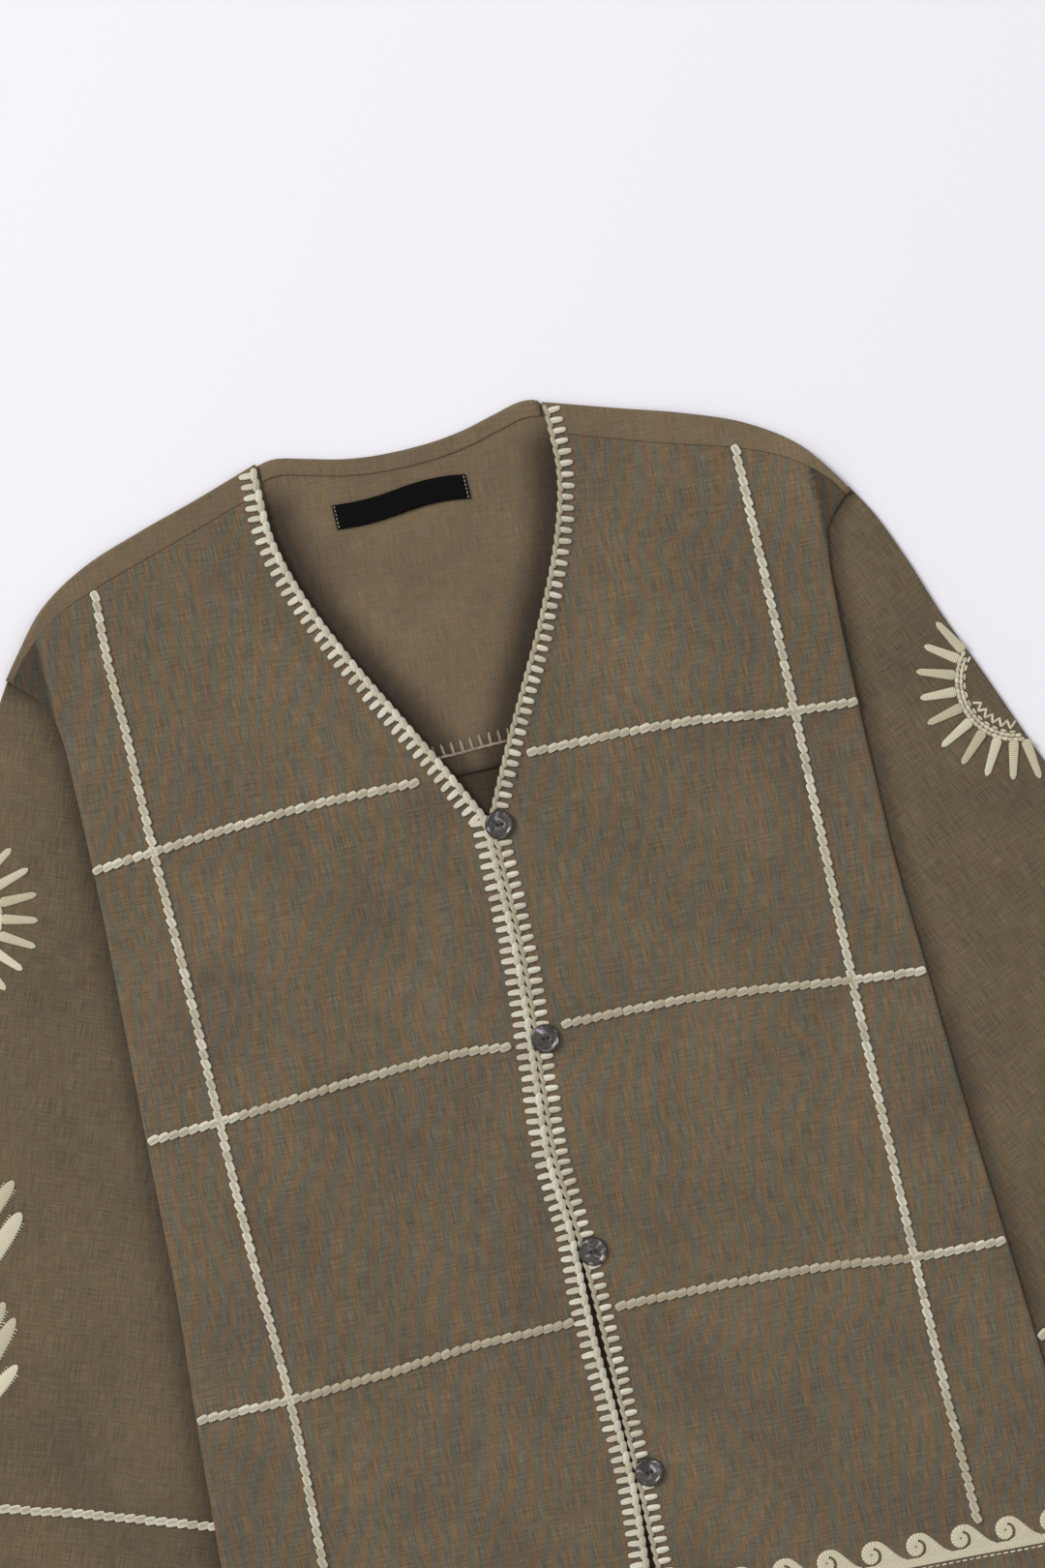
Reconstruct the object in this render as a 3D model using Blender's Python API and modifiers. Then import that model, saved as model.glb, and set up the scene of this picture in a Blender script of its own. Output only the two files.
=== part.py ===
"""Embroidered shirt with a V neck and drop shoulders, laid flat on its back.

Sizes are millimetres in the garment's own plan: x from the centre line towards the
photograph's right, y up towards the neck from the bottom of the V, z up from the floor.
Tables give x as a distance from the centre line, and a side of -1 or 1 mirrors it.
"""
import math
from collections import namedtuple

import bmesh
import bpy
from mathutils import Vector

MM = 0.001

# Cloth walls, the space kept at seams, and the air between two loose layers
CLOTH = 1.2
GAP = 0.3
AIR = 1.0
SLOPE_AIR = 0.6
LAYER = CLOTH + GAP
LAP = LAYER + 0.5
LAP_FROM = 4.0
LAP_IN = 20.0
LAP_TO = 108.0
LAP_OUT = 32.0

# Over how much of the front the air and the creases die out towards the side edge
SIDE_EASE = 20.0
CREASE_EASE = 14.0
SHOULDER_AIR_FROM = 95.0
SHOULDER_AIR_RUN = 30.0

# Body
HEM_Y = -537.0
BACK_TOP_Y = 48.0
YOKE_EDGE_Y = 30.0
NECK_X = 91.0
BACK_INSET = 0.6
YOKE_INSET = 1.0
YOKE_SIDE_SHARE = 0.25

# A front's rows bend from here up, to end along the shoulder seam
BEND_FROM_Y = -150.0
DROP_POWER = 1.5
BEND_X_POWER = 3
BEND_Y_POWER = 2

Side = namedtuple("Side", "y left right")
SIDE_EDGE = (
    Side(-537, 274, 265), Side(-411, 267, 258), Side(-327, 262, 253), Side(-246, 256, 247.5),
    Side(-154, 252.5, 243), Side(-65, 249, 239), Side(17, 246, 239), Side(96, 245.5, 241),
    Side(112, 246.5, 242.5), Side(124, 249, 245), Side(131, 252, 248.5), Side(149, 270, 266),
)
Neck = namedtuple("Neck", "y half")
NECKLINE = (
    Neck(0, 0.2), Neck(36, 18), Neck(72, 37), Neck(111, 57.6), Neck(156, 78),
    Neck(190, 88.5), Neck(212, 91), Neck(230, 91),
)
Edge = namedtuple("Edge", "x y")
NECK_EDGE = (Edge(0, 234), Edge(20, 234.8), Edge(40, 237.6), Edge(60, 242.6), Edge(80, 246.8), Edge(91, 245))
Opening = namedtuple("Opening", "y line gap")
OPENING = (
    Opening(-537, -8, 6), Opening(-475, -7, 3.5), Opening(-416, -4.8, 0.8),
    Opening(-376, -5.4, 2), Opening(-325, -6.6, 3.4), Opening(-265, -6.6, 0.9),
    Opening(-216, -9.6, 0.4), Opening(-170, -6.6, 0.4), Opening(-95, -0.6, 0.4),
    Opening(0, 0, 0.4),
)
# The top fold of the shoulder, and the front seam of the strip that comes over it
Shoulder = namedtuple("Shoulder", "fold_x fold_y seam_x seam_y")
SHOULDER = {
    -1: (Shoulder(91, 246.5, 91, 228.5), Shoulder(133, 233, 130, 216.5),
         Shoulder(172, 221.5, 166, 205.5), Shoulder(210, 208, 203, 194),
         Shoulder(240, 189.5, 233, 181.5), Shoulder(262, 164, 258, 161.5),
         Shoulder(272, 151, 268.2, 148.4)),
    1: (Shoulder(91, 243.5, 91, 224), Shoulder(135, 229.3, 130, 210.5),
        Shoulder(174, 217, 167, 198.5), Shoulder(210, 202.5, 202, 188),
        Shoulder(239, 182.5, 231, 175), Shoulder(258, 158, 254.2, 155.6),
        Shoulder(265, 146.5, 261.4, 144.2)),
}

# Sleeves: flattened tubes whose inner part lies under the body
SLEEVE_UNDER = 3.4
SLEEVE_CROWN = 2.3
EDGE_CLEAR = 4.0
CLEAR_RUN = 22.0
SWELL_RUN = 26.0
WAVE_RUN = 20.0
LEAST_HIDDEN = 0.25
LEFT_START_RISE = 2.6
Cuff = namedtuple("Cuff", "along out_x out_y left_extra")
OUTER_FOLD = (
    Cuff(0.0, 265.2, 147.5, 6.3), Cuff(0.031, 275.3, 130, 8), Cuff(0.098, 289.6, 95.5, 8),
    Cuff(0.167, 302.3, 59, 6), Cuff(0.228, 315.4, 27, 5), Cuff(0.347, 339.8, -35, 4),
    Cuff(0.505, 374, -118, 4), Cuff(0.695, 417, -218, 4), Cuff(0.898, 464, -325, 4),
    Cuff(1.0, 487.5, -379.5, 4),
)
INNER_TOP = (125.0, 20.0)
INNER_CUFF = (260.0, -450.0)
HIDDEN_END = (262.0, 143.0)
PLATEAU = 13.0
LIFT_RUN = 46.0

# Soft creases: a line on the garment, its half width, and its height (a trough is negative)
CREASE_END_SHARE = 0.35
Crease = namedtuple("Crease", "x0 y0 x1 y1 width height")
FRONT_CREASES = (
    Crease(243, 172, 240, 96, 11, 1.3), Crease(-247, 175, -244, 96, 11, 1.3),
    Crease(14, -150, 62, -300, 16, 0.8), Crease(24, -300, 36, -430, 12, 1.0),
    Crease(48, -320, 58, -440, 13, -0.5), Crease(76, -300, 92, -500, 16, 0.9),
    Crease(-20, -20, -70, -180, 18, 0.7), Crease(-60, -330, -50, -520, 18, 0.8),
    Crease(120, 150, 150, 20, 24, 0.6), Crease(-130, 150, -150, -10, 24, 0.6),
    Crease(190, -60, 205, -260, 22, 0.7), Crease(-200, -120, -212, -330, 22, 0.8),
    Crease(150, -380, 160, -537, 20, 1.1), Crease(-140, -400, -150, -537, 20, 1.1),
    Crease(215, -420, 222, -537, 16, 0.9), Crease(-215, -430, -224, -537, 16, 1.0),
)
SLEEVE_CREASES = (
    Crease(272, 105, 300, -70, 12, 0.7), Crease(268, -30, 318, -230, 14, -0.6),
    Crease(330, -60, 372, -215, 13, 0.6), Crease(330, -230, 372, -372, 15, 0.8),
    Crease(392, -170, 430, -330, 14, -0.6), Crease(292, -300, 318, -425, 12, 0.6),
)

# Trim
BAND_WIDE = 10.0
BAND_THICK = 1.0
BAND_SHORT = 5.0
BAND_INSET = 0.6
LABEL_SIZE = (85.0, 15.5, 1.0)
LABEL_PLACE = (-8.0, 203.0)
BUTTON_R = 9.0
BUTTON_THICK = 2.6
BUTTON_DISH = 0.7
BUTTON_LIFT = 0.6
Turned = namedtuple("Turned", "from_rim below_top")
BUTTON_PROFILE = (
    Turned(3.2, BUTTON_DISH), Turned(2.2, 0), Turned(0.7, 0), Turned(0, 0.8), Turned(1.6, BUTTON_THICK),
)
HOLE_R = 0.9
HOLE_SPACING = 3.0
Button = namedtuple("Button", "x y")
BUTTONS = (Button(5.5, -5.6), Button(3.1, -141), Button(1.7, -276), Button(4.4, -417))

# Mesh density
SHOULDER_COLUMNS = 10
NECK_COLUMNS = 12
YOKE_ROWS = (0.0, 0.18, 0.32, 0.5, 0.68, 0.86, 1.0)
FOLD_STEPS = 4
FRONT_LOW_ROWS = 13
FRONT_HIGH_ROWS = 8
BACK_HIGH_ROWS = 2
SLEEVE_ROWS = 20
SleeveColumns = namedtuple("SleeveColumns", "hidden open bottom turn")
SLEEVE_COLUMNS = SleeveColumns(4, 7, 4, 3)
EDGE_SEARCH_STEPS = 30
BUTTON_STEPS = 16
HOLE_SIDES = 8
MERGE_MM = 0.01
SHARP_ANGLE = 40.0

# The garment's plan is moved so that the origin is under the middle of its box
CENTRE_X = -OUTER_FOLD[-1].left_extra / 2
CENTRE_Y = (NECK_EDGE[-2].y + HEM_Y) / 2

# Base colour and roughness of each finish
FINISHES = {
    "linen": ((0.155, 0.115, 0.070), 0.9),
    "linen_inside": ((0.180, 0.135, 0.085), 0.9),
    "shell_button": ((0.110, 0.090, 0.080), 0.3),
    "woven_label": ((0.008, 0.008, 0.009), 0.7),
}


def smooth(t):
    """Ease from 0 to 1."""
    t = min(1.0, max(0.0, t))
    return t * t * (3 - 2 * t)


def table(rows, key, value, at):
    """Read a smooth curve through a table's rows at one value of its key column."""
    xs = [getattr(row, key) for row in rows]
    ys = [getattr(row, value) for row in rows]
    if at <= xs[0]:
        return ys[0]
    if at >= xs[-1]:
        return ys[-1]
    i = max(k for k in range(len(xs) - 1) if xs[k] <= at)
    slopes = [(ys[k + 1] - ys[k]) / (xs[k + 1] - xs[k]) for k in range(len(xs) - 1)]
    before = slopes[max(i - 1, 0)]
    after = slopes[min(i + 1, len(slopes) - 1)]
    step = xs[i + 1] - xs[i]
    start = (before + slopes[i]) / 2 if before * slopes[i] > 0 else 0.0
    end = (after + slopes[i]) / 2 if after * slopes[i] > 0 else 0.0
    t = (at - xs[i]) / step
    return (ys[i] * (1 + 2 * t) * (1 - t) ** 2 + start * step * t * (1 - t) ** 2
            + ys[i + 1] * t * t * (3 - 2 * t) + end * step * t * t * (t - 1))


def segment_distance(x, y, a, b):
    """Distance in plan from a point to the line from a to b, and how far along it is."""
    ax, ay = b[0] - a[0], b[1] - a[1]
    t = ((x - a[0]) * ax + (y - a[1]) * ay) / (ax * ax + ay * ay)
    t = min(1.0, max(0.0, t))
    return math.hypot(x - a[0] - t * ax, y - a[1] - t * ay), t


def relief(creases, x, y):
    """Height that the soft creases add at a point."""
    total = 0.0
    for c in creases:
        away, t = segment_distance(x, y, (c.x0, c.y0), (c.x1, c.y1))
        total += c.height * math.exp(-(away / c.width) ** 2) * (
            CREASE_END_SHARE + (1 - CREASE_END_SHARE) * math.sin(math.pi * t))
    return total


def side_x(y, side):
    return side * table(SIDE_EDGE, "y", "left" if side < 0 else "right", y)


def opening_x(y, side):
    line = table(OPENING, "y", "line", y)
    return line + side * table(OPENING, "y", "gap", y) / 2


def front_inner_x(y, side):
    """Inner edge of a front: the opening below the V, the neckline above it."""
    if y <= 0:
        return opening_x(y, side)
    return side * table(NECKLINE, "y", "half", y)


def shoulder_point(side, u, line):
    """A point of the shoulder's fold or seam, at a share u of the way out along it."""
    rows = SHOULDER[side]
    lengths = [0.0]
    for a, b in zip(rows, rows[1:]):
        lengths.append(lengths[-1] + math.hypot(b.fold_x - a.fold_x, b.fold_y - a.fold_y))
    Row = namedtuple("Row", "along x y")
    keyed = [Row(s, getattr(r, line + "_x"), getattr(r, line + "_y")) for s, r in zip(lengths, rows)]
    at = u * lengths[-1]
    return Vector((side * table(keyed, "along", "x", at), table(keyed, "along", "y", at)))


def sleeve_fold(side, along):
    """Outer and inner fold of a sleeve, at a share of its length from the armhole."""
    extra, rise = 0.0, 0.0
    if side < 0:
        extra = table(OUTER_FOLD, "along", "left_extra", along)
        rise = LEFT_START_RISE * max(0.0, 1 - along / OUTER_FOLD[1].along)
    outer = Vector((side * (table(OUTER_FOLD, "along", "out_x", along) + extra),
                    table(OUTER_FOLD, "along", "out_y", along) + rise))
    inner = Vector(INNER_TOP).lerp(Vector(INNER_CUFF), along)
    return outer, Vector((side * inner.x, inner.y))


def lift(x, y):
    """How far the body is carried up by the sleeve that is folded in under it."""
    x = abs(x)
    fold_x = INNER_CUFF[0] - INNER_TOP[0]
    fold_y = INNER_CUFF[1] - INNER_TOP[1]
    end_x = HIDDEN_END[0] - INNER_TOP[0]
    end_y = HIDDEN_END[1] - INNER_TOP[1]
    past_fold = (x - INNER_TOP[0]) * fold_y - (y - INNER_TOP[1]) * fold_x < 0
    past_end = (x - INNER_TOP[0]) * end_y - (y - INNER_TOP[1]) * end_x > 0
    if past_fold and past_end:
        return SLEEVE_UNDER + GAP
    away = min(segment_distance(x, y, INNER_TOP, INNER_CUFF)[0],
               segment_distance(x, y, INNER_TOP, HIDDEN_END)[0])
    return (SLEEVE_UNDER + GAP) * smooth(1 - (away - PLATEAU) / LIFT_RUN)


def front_top(x, y):
    """Upper side of the fronts, over the back, the yoke's lap and the sleeves."""
    side = 1 if x > 0 else -1
    from_side = abs(side_x(y, side)) - abs(x)
    air = AIR * max(smooth(from_side / SIDE_EASE), smooth((y - SHOULDER_AIR_FROM) / SHOULDER_AIR_RUN))
    low = lift(x, y)
    climb = low / (SLEEVE_UNDER + GAP)
    air += SLOPE_AIR * 4 * climb * (1 - climb)
    lap = LAP * min(smooth((y - LAP_FROM) / LAP_IN), smooth((LAP_TO - y) / LAP_OUT))
    creases = relief(FRONT_CREASES, x, y) * smooth(from_side / CREASE_EASE)
    return low + lap + LAYER + air + CLOTH + creases


def cloth_sheet(name, columns, rows, surface, finish, outside_down=False, keep=None, wall=CLOTH):
    """A grid laid on surface(i, j), the cloth's outer side, thickened inwards."""
    bm = bmesh.new()
    bmesh.ops.create_grid(bm, x_segments=columns, y_segments=rows, size=1.0)
    places = {}
    for vert in bm.verts:
        i = round((vert.co.x + 1) / 2 * columns)
        j = round((vert.co.y + 1) / 2 * rows)
        places[vert] = (i, j)
    if keep:
        unwanted = [f for f in bm.faces
                    if not keep(min(places[v][0] for v in f.verts), min(places[v][1] for v in f.verts))]
        bmesh.ops.delete(bm, geom=unwanted, context="FACES")
    for vert in bm.verts:
        x, y, z = surface(*places[vert])
        vert.co = ((x - CENTRE_X) * MM, (y - CENTRE_Y) * MM, z * MM)
    bmesh.ops.remove_doubles(bm, verts=bm.verts, dist=MERGE_MM * MM)
    if outside_down:
        bmesh.ops.reverse_faces(bm, faces=bm.faces)
    obj = mesh_object(name, bm, finish)
    solid = obj.modifiers.new("cloth wall", "SOLIDIFY")
    solid.thickness = wall * MM
    solid.offset = -1.0
    solid.use_even_offset = True
    return obj


def mesh_object(name, bm, finish):
    mesh = bpy.data.meshes.new(name)
    bm.to_mesh(mesh)
    bm.free()
    mesh.shade_smooth()
    mesh.set_sharp_from_angle(angle=math.radians(SHARP_ANGLE))
    mesh.materials.append(material(name, finish))
    obj = bpy.data.objects.new(name, mesh)
    SHIRT.objects.link(obj)
    return obj


def material(name, finish):
    colour, roughness = FINISHES[finish]
    mat = bpy.data.materials.new(name + "_" + finish)
    mat.use_nodes = True
    shader = mat.node_tree.nodes["Principled BSDF"]
    shader.inputs["Base Color"].default_value = (*colour, 1.0)
    shader.inputs["Roughness"].default_value = roughness
    shader.inputs["Metallic"].default_value = 0.0
    return mat


def make_front(side):
    """One front, from hem to shoulder seam, on rows that bend up to follow the seam."""
    seam = [shoulder_point(side, i / SHOULDER_COLUMNS, "seam") for i in range(SHOULDER_COLUMNS + 1)]
    top_in, top_out = seam[0].y, seam[-1].y
    heights = [HEM_Y * (1 - k / FRONT_LOW_ROWS) for k in range(FRONT_LOW_ROWS)]
    heights += [top_in * k / FRONT_HIGH_ROWS for k in range(FRONT_HIGH_ROWS + 1)]

    def surface(i, j):
        u = i / SHOULDER_COLUMNS
        y_in = heights[j]
        climb = max(0.0, (y_in - BEND_FROM_Y) / (top_in - BEND_FROM_Y))
        y_out = y_in - (top_in - top_out) * climb ** DROP_POWER
        x_in, x_out = front_inner_x(y_in, side), side_x(y_out, side)
        if j == len(heights) - 1:
            x_in, x_out = seam[0].x, seam[-1].x
        bend_x = seam[i].x - (seam[0].x * (1 - u) + seam[-1].x * u)
        bend_y = seam[i].y - (top_in * (1 - u) + top_out * u)
        x = x_in * (1 - u) + x_out * u + bend_x * climb ** BEND_X_POWER
        y = y_in * (1 - u) + y_out * u + bend_y * climb ** BEND_Y_POWER
        z = front_top(x, y)
        if j == len(heights) - 1:
            fold = shoulder_point(side, u, "fold")
            inward = (seam[i] - fold).normalized()
            x, y = x + inward.x * GAP, y + inward.y * GAP
        return x, y, z

    name = "front_left" if side < 0 else "front_right"
    return cloth_sheet(name, SHOULDER_COLUMNS, len(heights) - 1, surface, "linen", outside_down=side < 0)


def make_back_panel():
    """The lower back: its outer side lies on the floor and climbs onto the sleeves."""
    heights = [HEM_Y * (1 - k / FRONT_LOW_ROWS) for k in range(FRONT_LOW_ROWS)]
    heights += [BACK_TOP_Y * k / BACK_HIGH_ROWS for k in range(BACK_HIGH_ROWS + 1)]

    def surface(i, j):
        y = heights[j]
        side = -1 if i < SHOULDER_COLUMNS else 1
        middle, edge = opening_x(y, 0), side_x(y, side) - side * BACK_INSET
        x = middle + (edge - middle) * abs(i - SHOULDER_COLUMNS) / SHOULDER_COLUMNS
        return x, y, lift(x, y)

    return cloth_sheet("back_panel", 2 * SHOULDER_COLUMNS, len(heights) - 1, surface, "linen_inside",
                       outside_down=True)


def neck_y(share):
    """Height in plan of the back neck edge, from -1 at its left end to 1 at its right end."""
    return table(NECK_EDGE, "x", "y", abs(share) * NECK_X)


def make_back_yoke():
    """The upper back. Past the neck it turns over the shoulder and comes forward to the seam."""
    columns = 2 * SHOULDER_COLUMNS + NECK_COLUMNS
    flat_rows = len(YOKE_ROWS) - 1
    rows = flat_rows + FOLD_STEPS + 1

    def top_line(i):
        """The top of column i: fold, seam and the direction out, or the neck edge alone."""
        if i <= SHOULDER_COLUMNS:
            side, u = -1, 1 - i / SHOULDER_COLUMNS
        elif i >= SHOULDER_COLUMNS + NECK_COLUMNS:
            side, u = 1, (i - SHOULDER_COLUMNS - NECK_COLUMNS) / SHOULDER_COLUMNS
        else:
            share = 2 * (i - SHOULDER_COLUMNS) / NECK_COLUMNS - 1
            return Vector((share * NECK_X, neck_y(share))), None, None
        fold = shoulder_point(side, u, "fold")
        seam = shoulder_point(side, u, "seam")
        return fold, seam, (fold - seam).normalized()

    def surface(i, j):
        fold, seam, out = top_line(i)
        if seam is None:
            top, radius = fold, 0.0
        else:
            radius = (front_top(fold.x, fold.y) - lift(fold.x, fold.y)) / 2
            top = fold - out * radius
        if j <= flat_rows:
            v = YOKE_ROWS[j]
            u = i / columns
            left_top, right_top = top_line(0)[0], top_line(columns)[0]
            y_left = YOKE_EDGE_Y + (left_top.y - YOKE_EDGE_Y) * v
            y_right = YOKE_EDGE_Y + (right_top.y - YOKE_EDGE_Y) * v
            foot_left, foot_right = side_x(YOKE_EDGE_Y, -1), side_x(YOKE_EDGE_Y, 1)
            foot_x = (foot_left + YOKE_INSET) * (1 - u) + (foot_right - YOKE_INSET) * u
            bulge_left = side_x(y_left, -1) + YOKE_INSET - (foot_left * (1 - v) + left_top.x * v)
            bulge_right = side_x(y_right, 1) - YOKE_INSET - (foot_right * (1 - v) + right_top.x * v)
            x = foot_x * (1 - v) + top.x * v
            x += bulge_left * max(0.0, 1 - u / YOKE_SIDE_SHARE)
            x += bulge_right * max(0.0, 1 - (1 - u) / YOKE_SIDE_SHARE)
            y = YOKE_EDGE_Y * (1 - v) + top.y * v
            lap = LAP if j <= 1 else 0.0
            return x, y, lift(x, y) + lap
        if seam is None:
            return fold.x, fold.y, 0.0
        low = lift(fold.x, fold.y)
        turn = min(j - flat_rows, FOLD_STEPS) * math.pi / FOLD_STEPS
        if j < rows:
            reach = top + out * radius * math.sin(turn)
            return reach.x, reach.y, low + radius * (1 - math.cos(turn))
        return seam.x, seam.y, front_top(seam.x, seam.y)

    def keep(i, j):
        return j < flat_rows or i < SHOULDER_COLUMNS or i >= SHOULDER_COLUMNS + NECK_COLUMNS

    return cloth_sheet("back_yoke", columns, rows, surface, "linen_inside", outside_down=True, keep=keep)


def make_neck_band():
    """A facing strip that lies on the yoke, just inside the back neck edge."""
    def surface(i, j):
        x = (2 * i / NECK_COLUMNS - 1) * (NECK_X - BAND_SHORT)
        return x, neck_y(x / NECK_X) - BAND_INSET - j * BAND_WIDE, LAYER

    return cloth_sheet("neck_band", NECK_COLUMNS, 1, surface, "linen_inside", wall=BAND_THICK)


def make_label():
    wide, high, thick = LABEL_SIZE
    bpy.ops.mesh.primitive_cube_add(size=1.0)
    obj = bpy.context.active_object
    obj.name = obj.data.name = "label"
    for vert in obj.data.vertices:
        vert.co = Vector((vert.co.x * wide, vert.co.y * high, vert.co.z * thick)) * MM
    obj.location = Vector((LABEL_PLACE[0] - CENTRE_X, LABEL_PLACE[1] - CENTRE_Y, LAYER + thick / 2)) * MM
    move_to(SHIRT, obj)
    obj.data.materials.append(material("label", "woven_label"))
    return obj


def move_to(collection, obj):
    for home in list(obj.users_collection):
        home.objects.unlink(obj)
    collection.objects.link(obj)


def make_sleeve(side):
    """A flattened tube. Its rings run flat along the floor and soft over the top."""
    bottom, turn = SLEEVE_COLUMNS.bottom, SLEEVE_COLUMNS.turn
    top = SLEEVE_COLUMNS.hidden + SLEEVE_COLUMNS.open
    columns = top + bottom + 2 * turn
    radius = SLEEVE_UNDER / 2

    def height(x, y, from_outer, from_inner):
        out, inn = from_outer - radius, from_inner - radius
        clear = smooth((abs(x) - abs(side_x(y, side)) - EDGE_CLEAR) / CLEAR_RUN)
        swell = SLEEVE_CROWN * smooth(out / SWELL_RUN) * smooth(inn / SWELL_RUN)
        wave = relief(SLEEVE_CREASES, abs(x), y) * smooth(out / WAVE_RUN) * smooth(inn / WAVE_RUN)
        return SLEEVE_UNDER + clear * (swell + wave)

    def body_edge(outer, inner):
        """How far from the inner fold a ring comes out from under the body."""
        low, high = 0.0, 1.0
        for _ in range(EDGE_SEARCH_STEPS):
            middle = (low + high) / 2
            spot = inner.lerp(outer, middle)
            if abs(spot.x) > abs(side_x(spot.y, side)) + EDGE_CLEAR:
                high = middle
            else:
                low = middle
        return max(LEAST_HIDDEN, low)

    def surface(i, j):
        outer, inner = sleeve_fold(side, j / SLEEVE_ROWS)
        across = (outer - inner).normalized()
        wide = (outer - inner).length
        i %= columns
        if i <= bottom:
            flat = inner + across * (radius + (wide - 2 * radius) * i / bottom)
            return flat.x, flat.y, 0.0
        if i < bottom + turn:
            angle = math.pi * (i - bottom) / turn
            spot = outer - across * radius * (1 - math.sin(angle))
            return spot.x, spot.y, radius * (1 - math.cos(angle))
        if i <= bottom + turn + top:
            step = i - bottom - turn
            split = body_edge(outer, inner) * wide
            if step <= SLEEVE_COLUMNS.open:
                reach = wide - radius - (wide - radius - split) * step / SLEEVE_COLUMNS.open
            else:
                reach = split - (split - radius) * (step - SLEEVE_COLUMNS.open) / SLEEVE_COLUMNS.hidden
            spot = inner + across * reach
            return spot.x, spot.y, height(spot.x, spot.y, wide - reach, reach)
        angle = math.pi * (i - bottom - turn - top) / turn
        spot = inner + across * radius * (1 - math.sin(angle))
        return spot.x, spot.y, radius * (1 + math.cos(angle))

    name = "sleeve_left" if side < 0 else "sleeve_right"
    return cloth_sheet(name, columns, SLEEVE_ROWS, surface, "linen", outside_down=side < 0)


def make_button(number, place):
    """A turned button with a raised rim, a dished middle and two holes side by side."""
    profile = [(BUTTON_R - row.from_rim, BUTTON_THICK - row.below_top) for row in BUTTON_PROFILE]
    profile = [(0.0, profile[0][1]), *profile, (0.0, 0.0)]
    bm = bmesh.new()
    verts = [bm.verts.new((r * MM, 0, z * MM)) for r, z in profile]
    for a, b in zip(verts, verts[1:]):
        bm.edges.new((a, b))
    obj = mesh_object(f"button_{number}", bm, "shell_button")
    screw = obj.modifiers.new("turned", "SCREW")
    screw.steps = screw.render_steps = BUTTON_STEPS
    screw.use_merge_vertices = True
    screw.merge_threshold = MERGE_MM * MM
    base = max(front_top(place.x + dx, place.y + dy)
               for dx in (-BUTTON_R, 0.1, BUTTON_R) for dy in (-BUTTON_R, 0, BUTTON_R))
    centre = Vector((place.x - CENTRE_X, place.y - CENTRE_Y, base + BUTTON_LIFT)) * MM
    obj.location = centre
    for hand in (-1, 1):
        bpy.ops.mesh.primitive_cylinder_add(vertices=HOLE_SIDES, radius=HOLE_R * MM,
                                            depth=3 * BUTTON_THICK * MM)
        cutter = bpy.context.active_object
        cutter.name = f"button_{number}_hole_{'left' if hand < 0 else 'right'}"
        cutter.location = centre + Vector((hand * HOLE_SPACING / 2 * MM, 0, BUTTON_THICK / 2 * MM))
        cutter.hide_render = True
        cutter.display_type = "WIRE"
        move_to(CUTTERS, cutter)
        cut = obj.modifiers.new("hole", "BOOLEAN")
        cut.object = cutter
        cut.operation = "DIFFERENCE"
        cut.solver = "EXACT"
    return obj


for old in list(bpy.data.objects):
    bpy.data.objects.remove(old, do_unlink=True)

SHIRT = bpy.data.collections.new("embroidered shirt")
CUTTERS = bpy.data.collections.new("cutters")
bpy.context.scene.collection.children.link(SHIRT)
bpy.context.scene.collection.children.link(CUTTERS)

make_back_panel()
make_back_yoke()
make_neck_band()
make_label()
for hand in (-1, 1):
    make_sleeve(hand)
    make_front(hand)
for count, spot in enumerate(BUTTONS, start=1):
    make_button(count, spot)
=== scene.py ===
# %% [markdown]
# This lesson dresses a plain CAD shirt as the real one: a linen shirt, embroidered by hand in
# thick cotton yarn and laid flat on its back. The CAD gives every cut piece as a wall of cloth.
# Here each of them gets a finer skin with soft creases, and then the yarn, stitch by stitch.
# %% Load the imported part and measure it
import math
from collections import namedtuple

import bmesh
import bpy
import numpy as np
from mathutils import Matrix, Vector

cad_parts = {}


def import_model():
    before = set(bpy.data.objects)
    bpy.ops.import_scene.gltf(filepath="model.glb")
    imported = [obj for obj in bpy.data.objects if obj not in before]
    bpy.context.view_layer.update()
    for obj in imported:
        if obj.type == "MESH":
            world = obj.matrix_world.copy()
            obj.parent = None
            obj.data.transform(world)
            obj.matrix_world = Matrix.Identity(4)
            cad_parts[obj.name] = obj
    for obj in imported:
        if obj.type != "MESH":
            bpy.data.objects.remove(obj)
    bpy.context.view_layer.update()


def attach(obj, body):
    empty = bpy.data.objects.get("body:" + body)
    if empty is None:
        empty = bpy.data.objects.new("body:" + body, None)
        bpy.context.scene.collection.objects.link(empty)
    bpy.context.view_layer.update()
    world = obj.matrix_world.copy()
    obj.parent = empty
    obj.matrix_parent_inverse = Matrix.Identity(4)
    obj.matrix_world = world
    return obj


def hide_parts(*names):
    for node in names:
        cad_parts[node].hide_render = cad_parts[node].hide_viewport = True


MM = 0.001
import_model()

# %% [markdown]
# The camera goes first, because everything else is judged through it. A flat lay is shot from
# straight above with a long lens, and this garment was laid a little turned on the floor.
# Turning the camera instead of the cloth gives the same picture and keeps the shirt square.
# %% Camera over the shirt
CENTRE = (-2.0, -145.1)
VIEW_SPOT = (25.2, 15.7)
FIELD_TALL = 972.0
GARMENT_TURN = 13.2
CAMERA_HEIGHT = 4000.0
SENSOR = 36.0


def world(x, y, z=0.0):
    """A point of the garment's plan, in millimetres, as a place in the scene in metres."""
    return Vector(((x - CENTRE[0]) * MM, (y - CENTRE[1]) * MM, z * MM))


camera = bpy.data.objects.new("camera", bpy.data.cameras.new("camera"))
camera.data.sensor_width = SENSOR
camera.data.lens = SENSOR * CAMERA_HEIGHT / FIELD_TALL
camera.location = world(*VIEW_SPOT, CAMERA_HEIGHT)
camera.rotation_euler = (0.0, 0.0, math.radians(-GARMENT_TURN))
bpy.context.scene.collection.objects.link(camera)
bpy.context.scene.camera = camera
bpy.context.scene.view_settings.view_transform = "Standard"
print("lens", round(camera.data.lens, 1), "mm")

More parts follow.
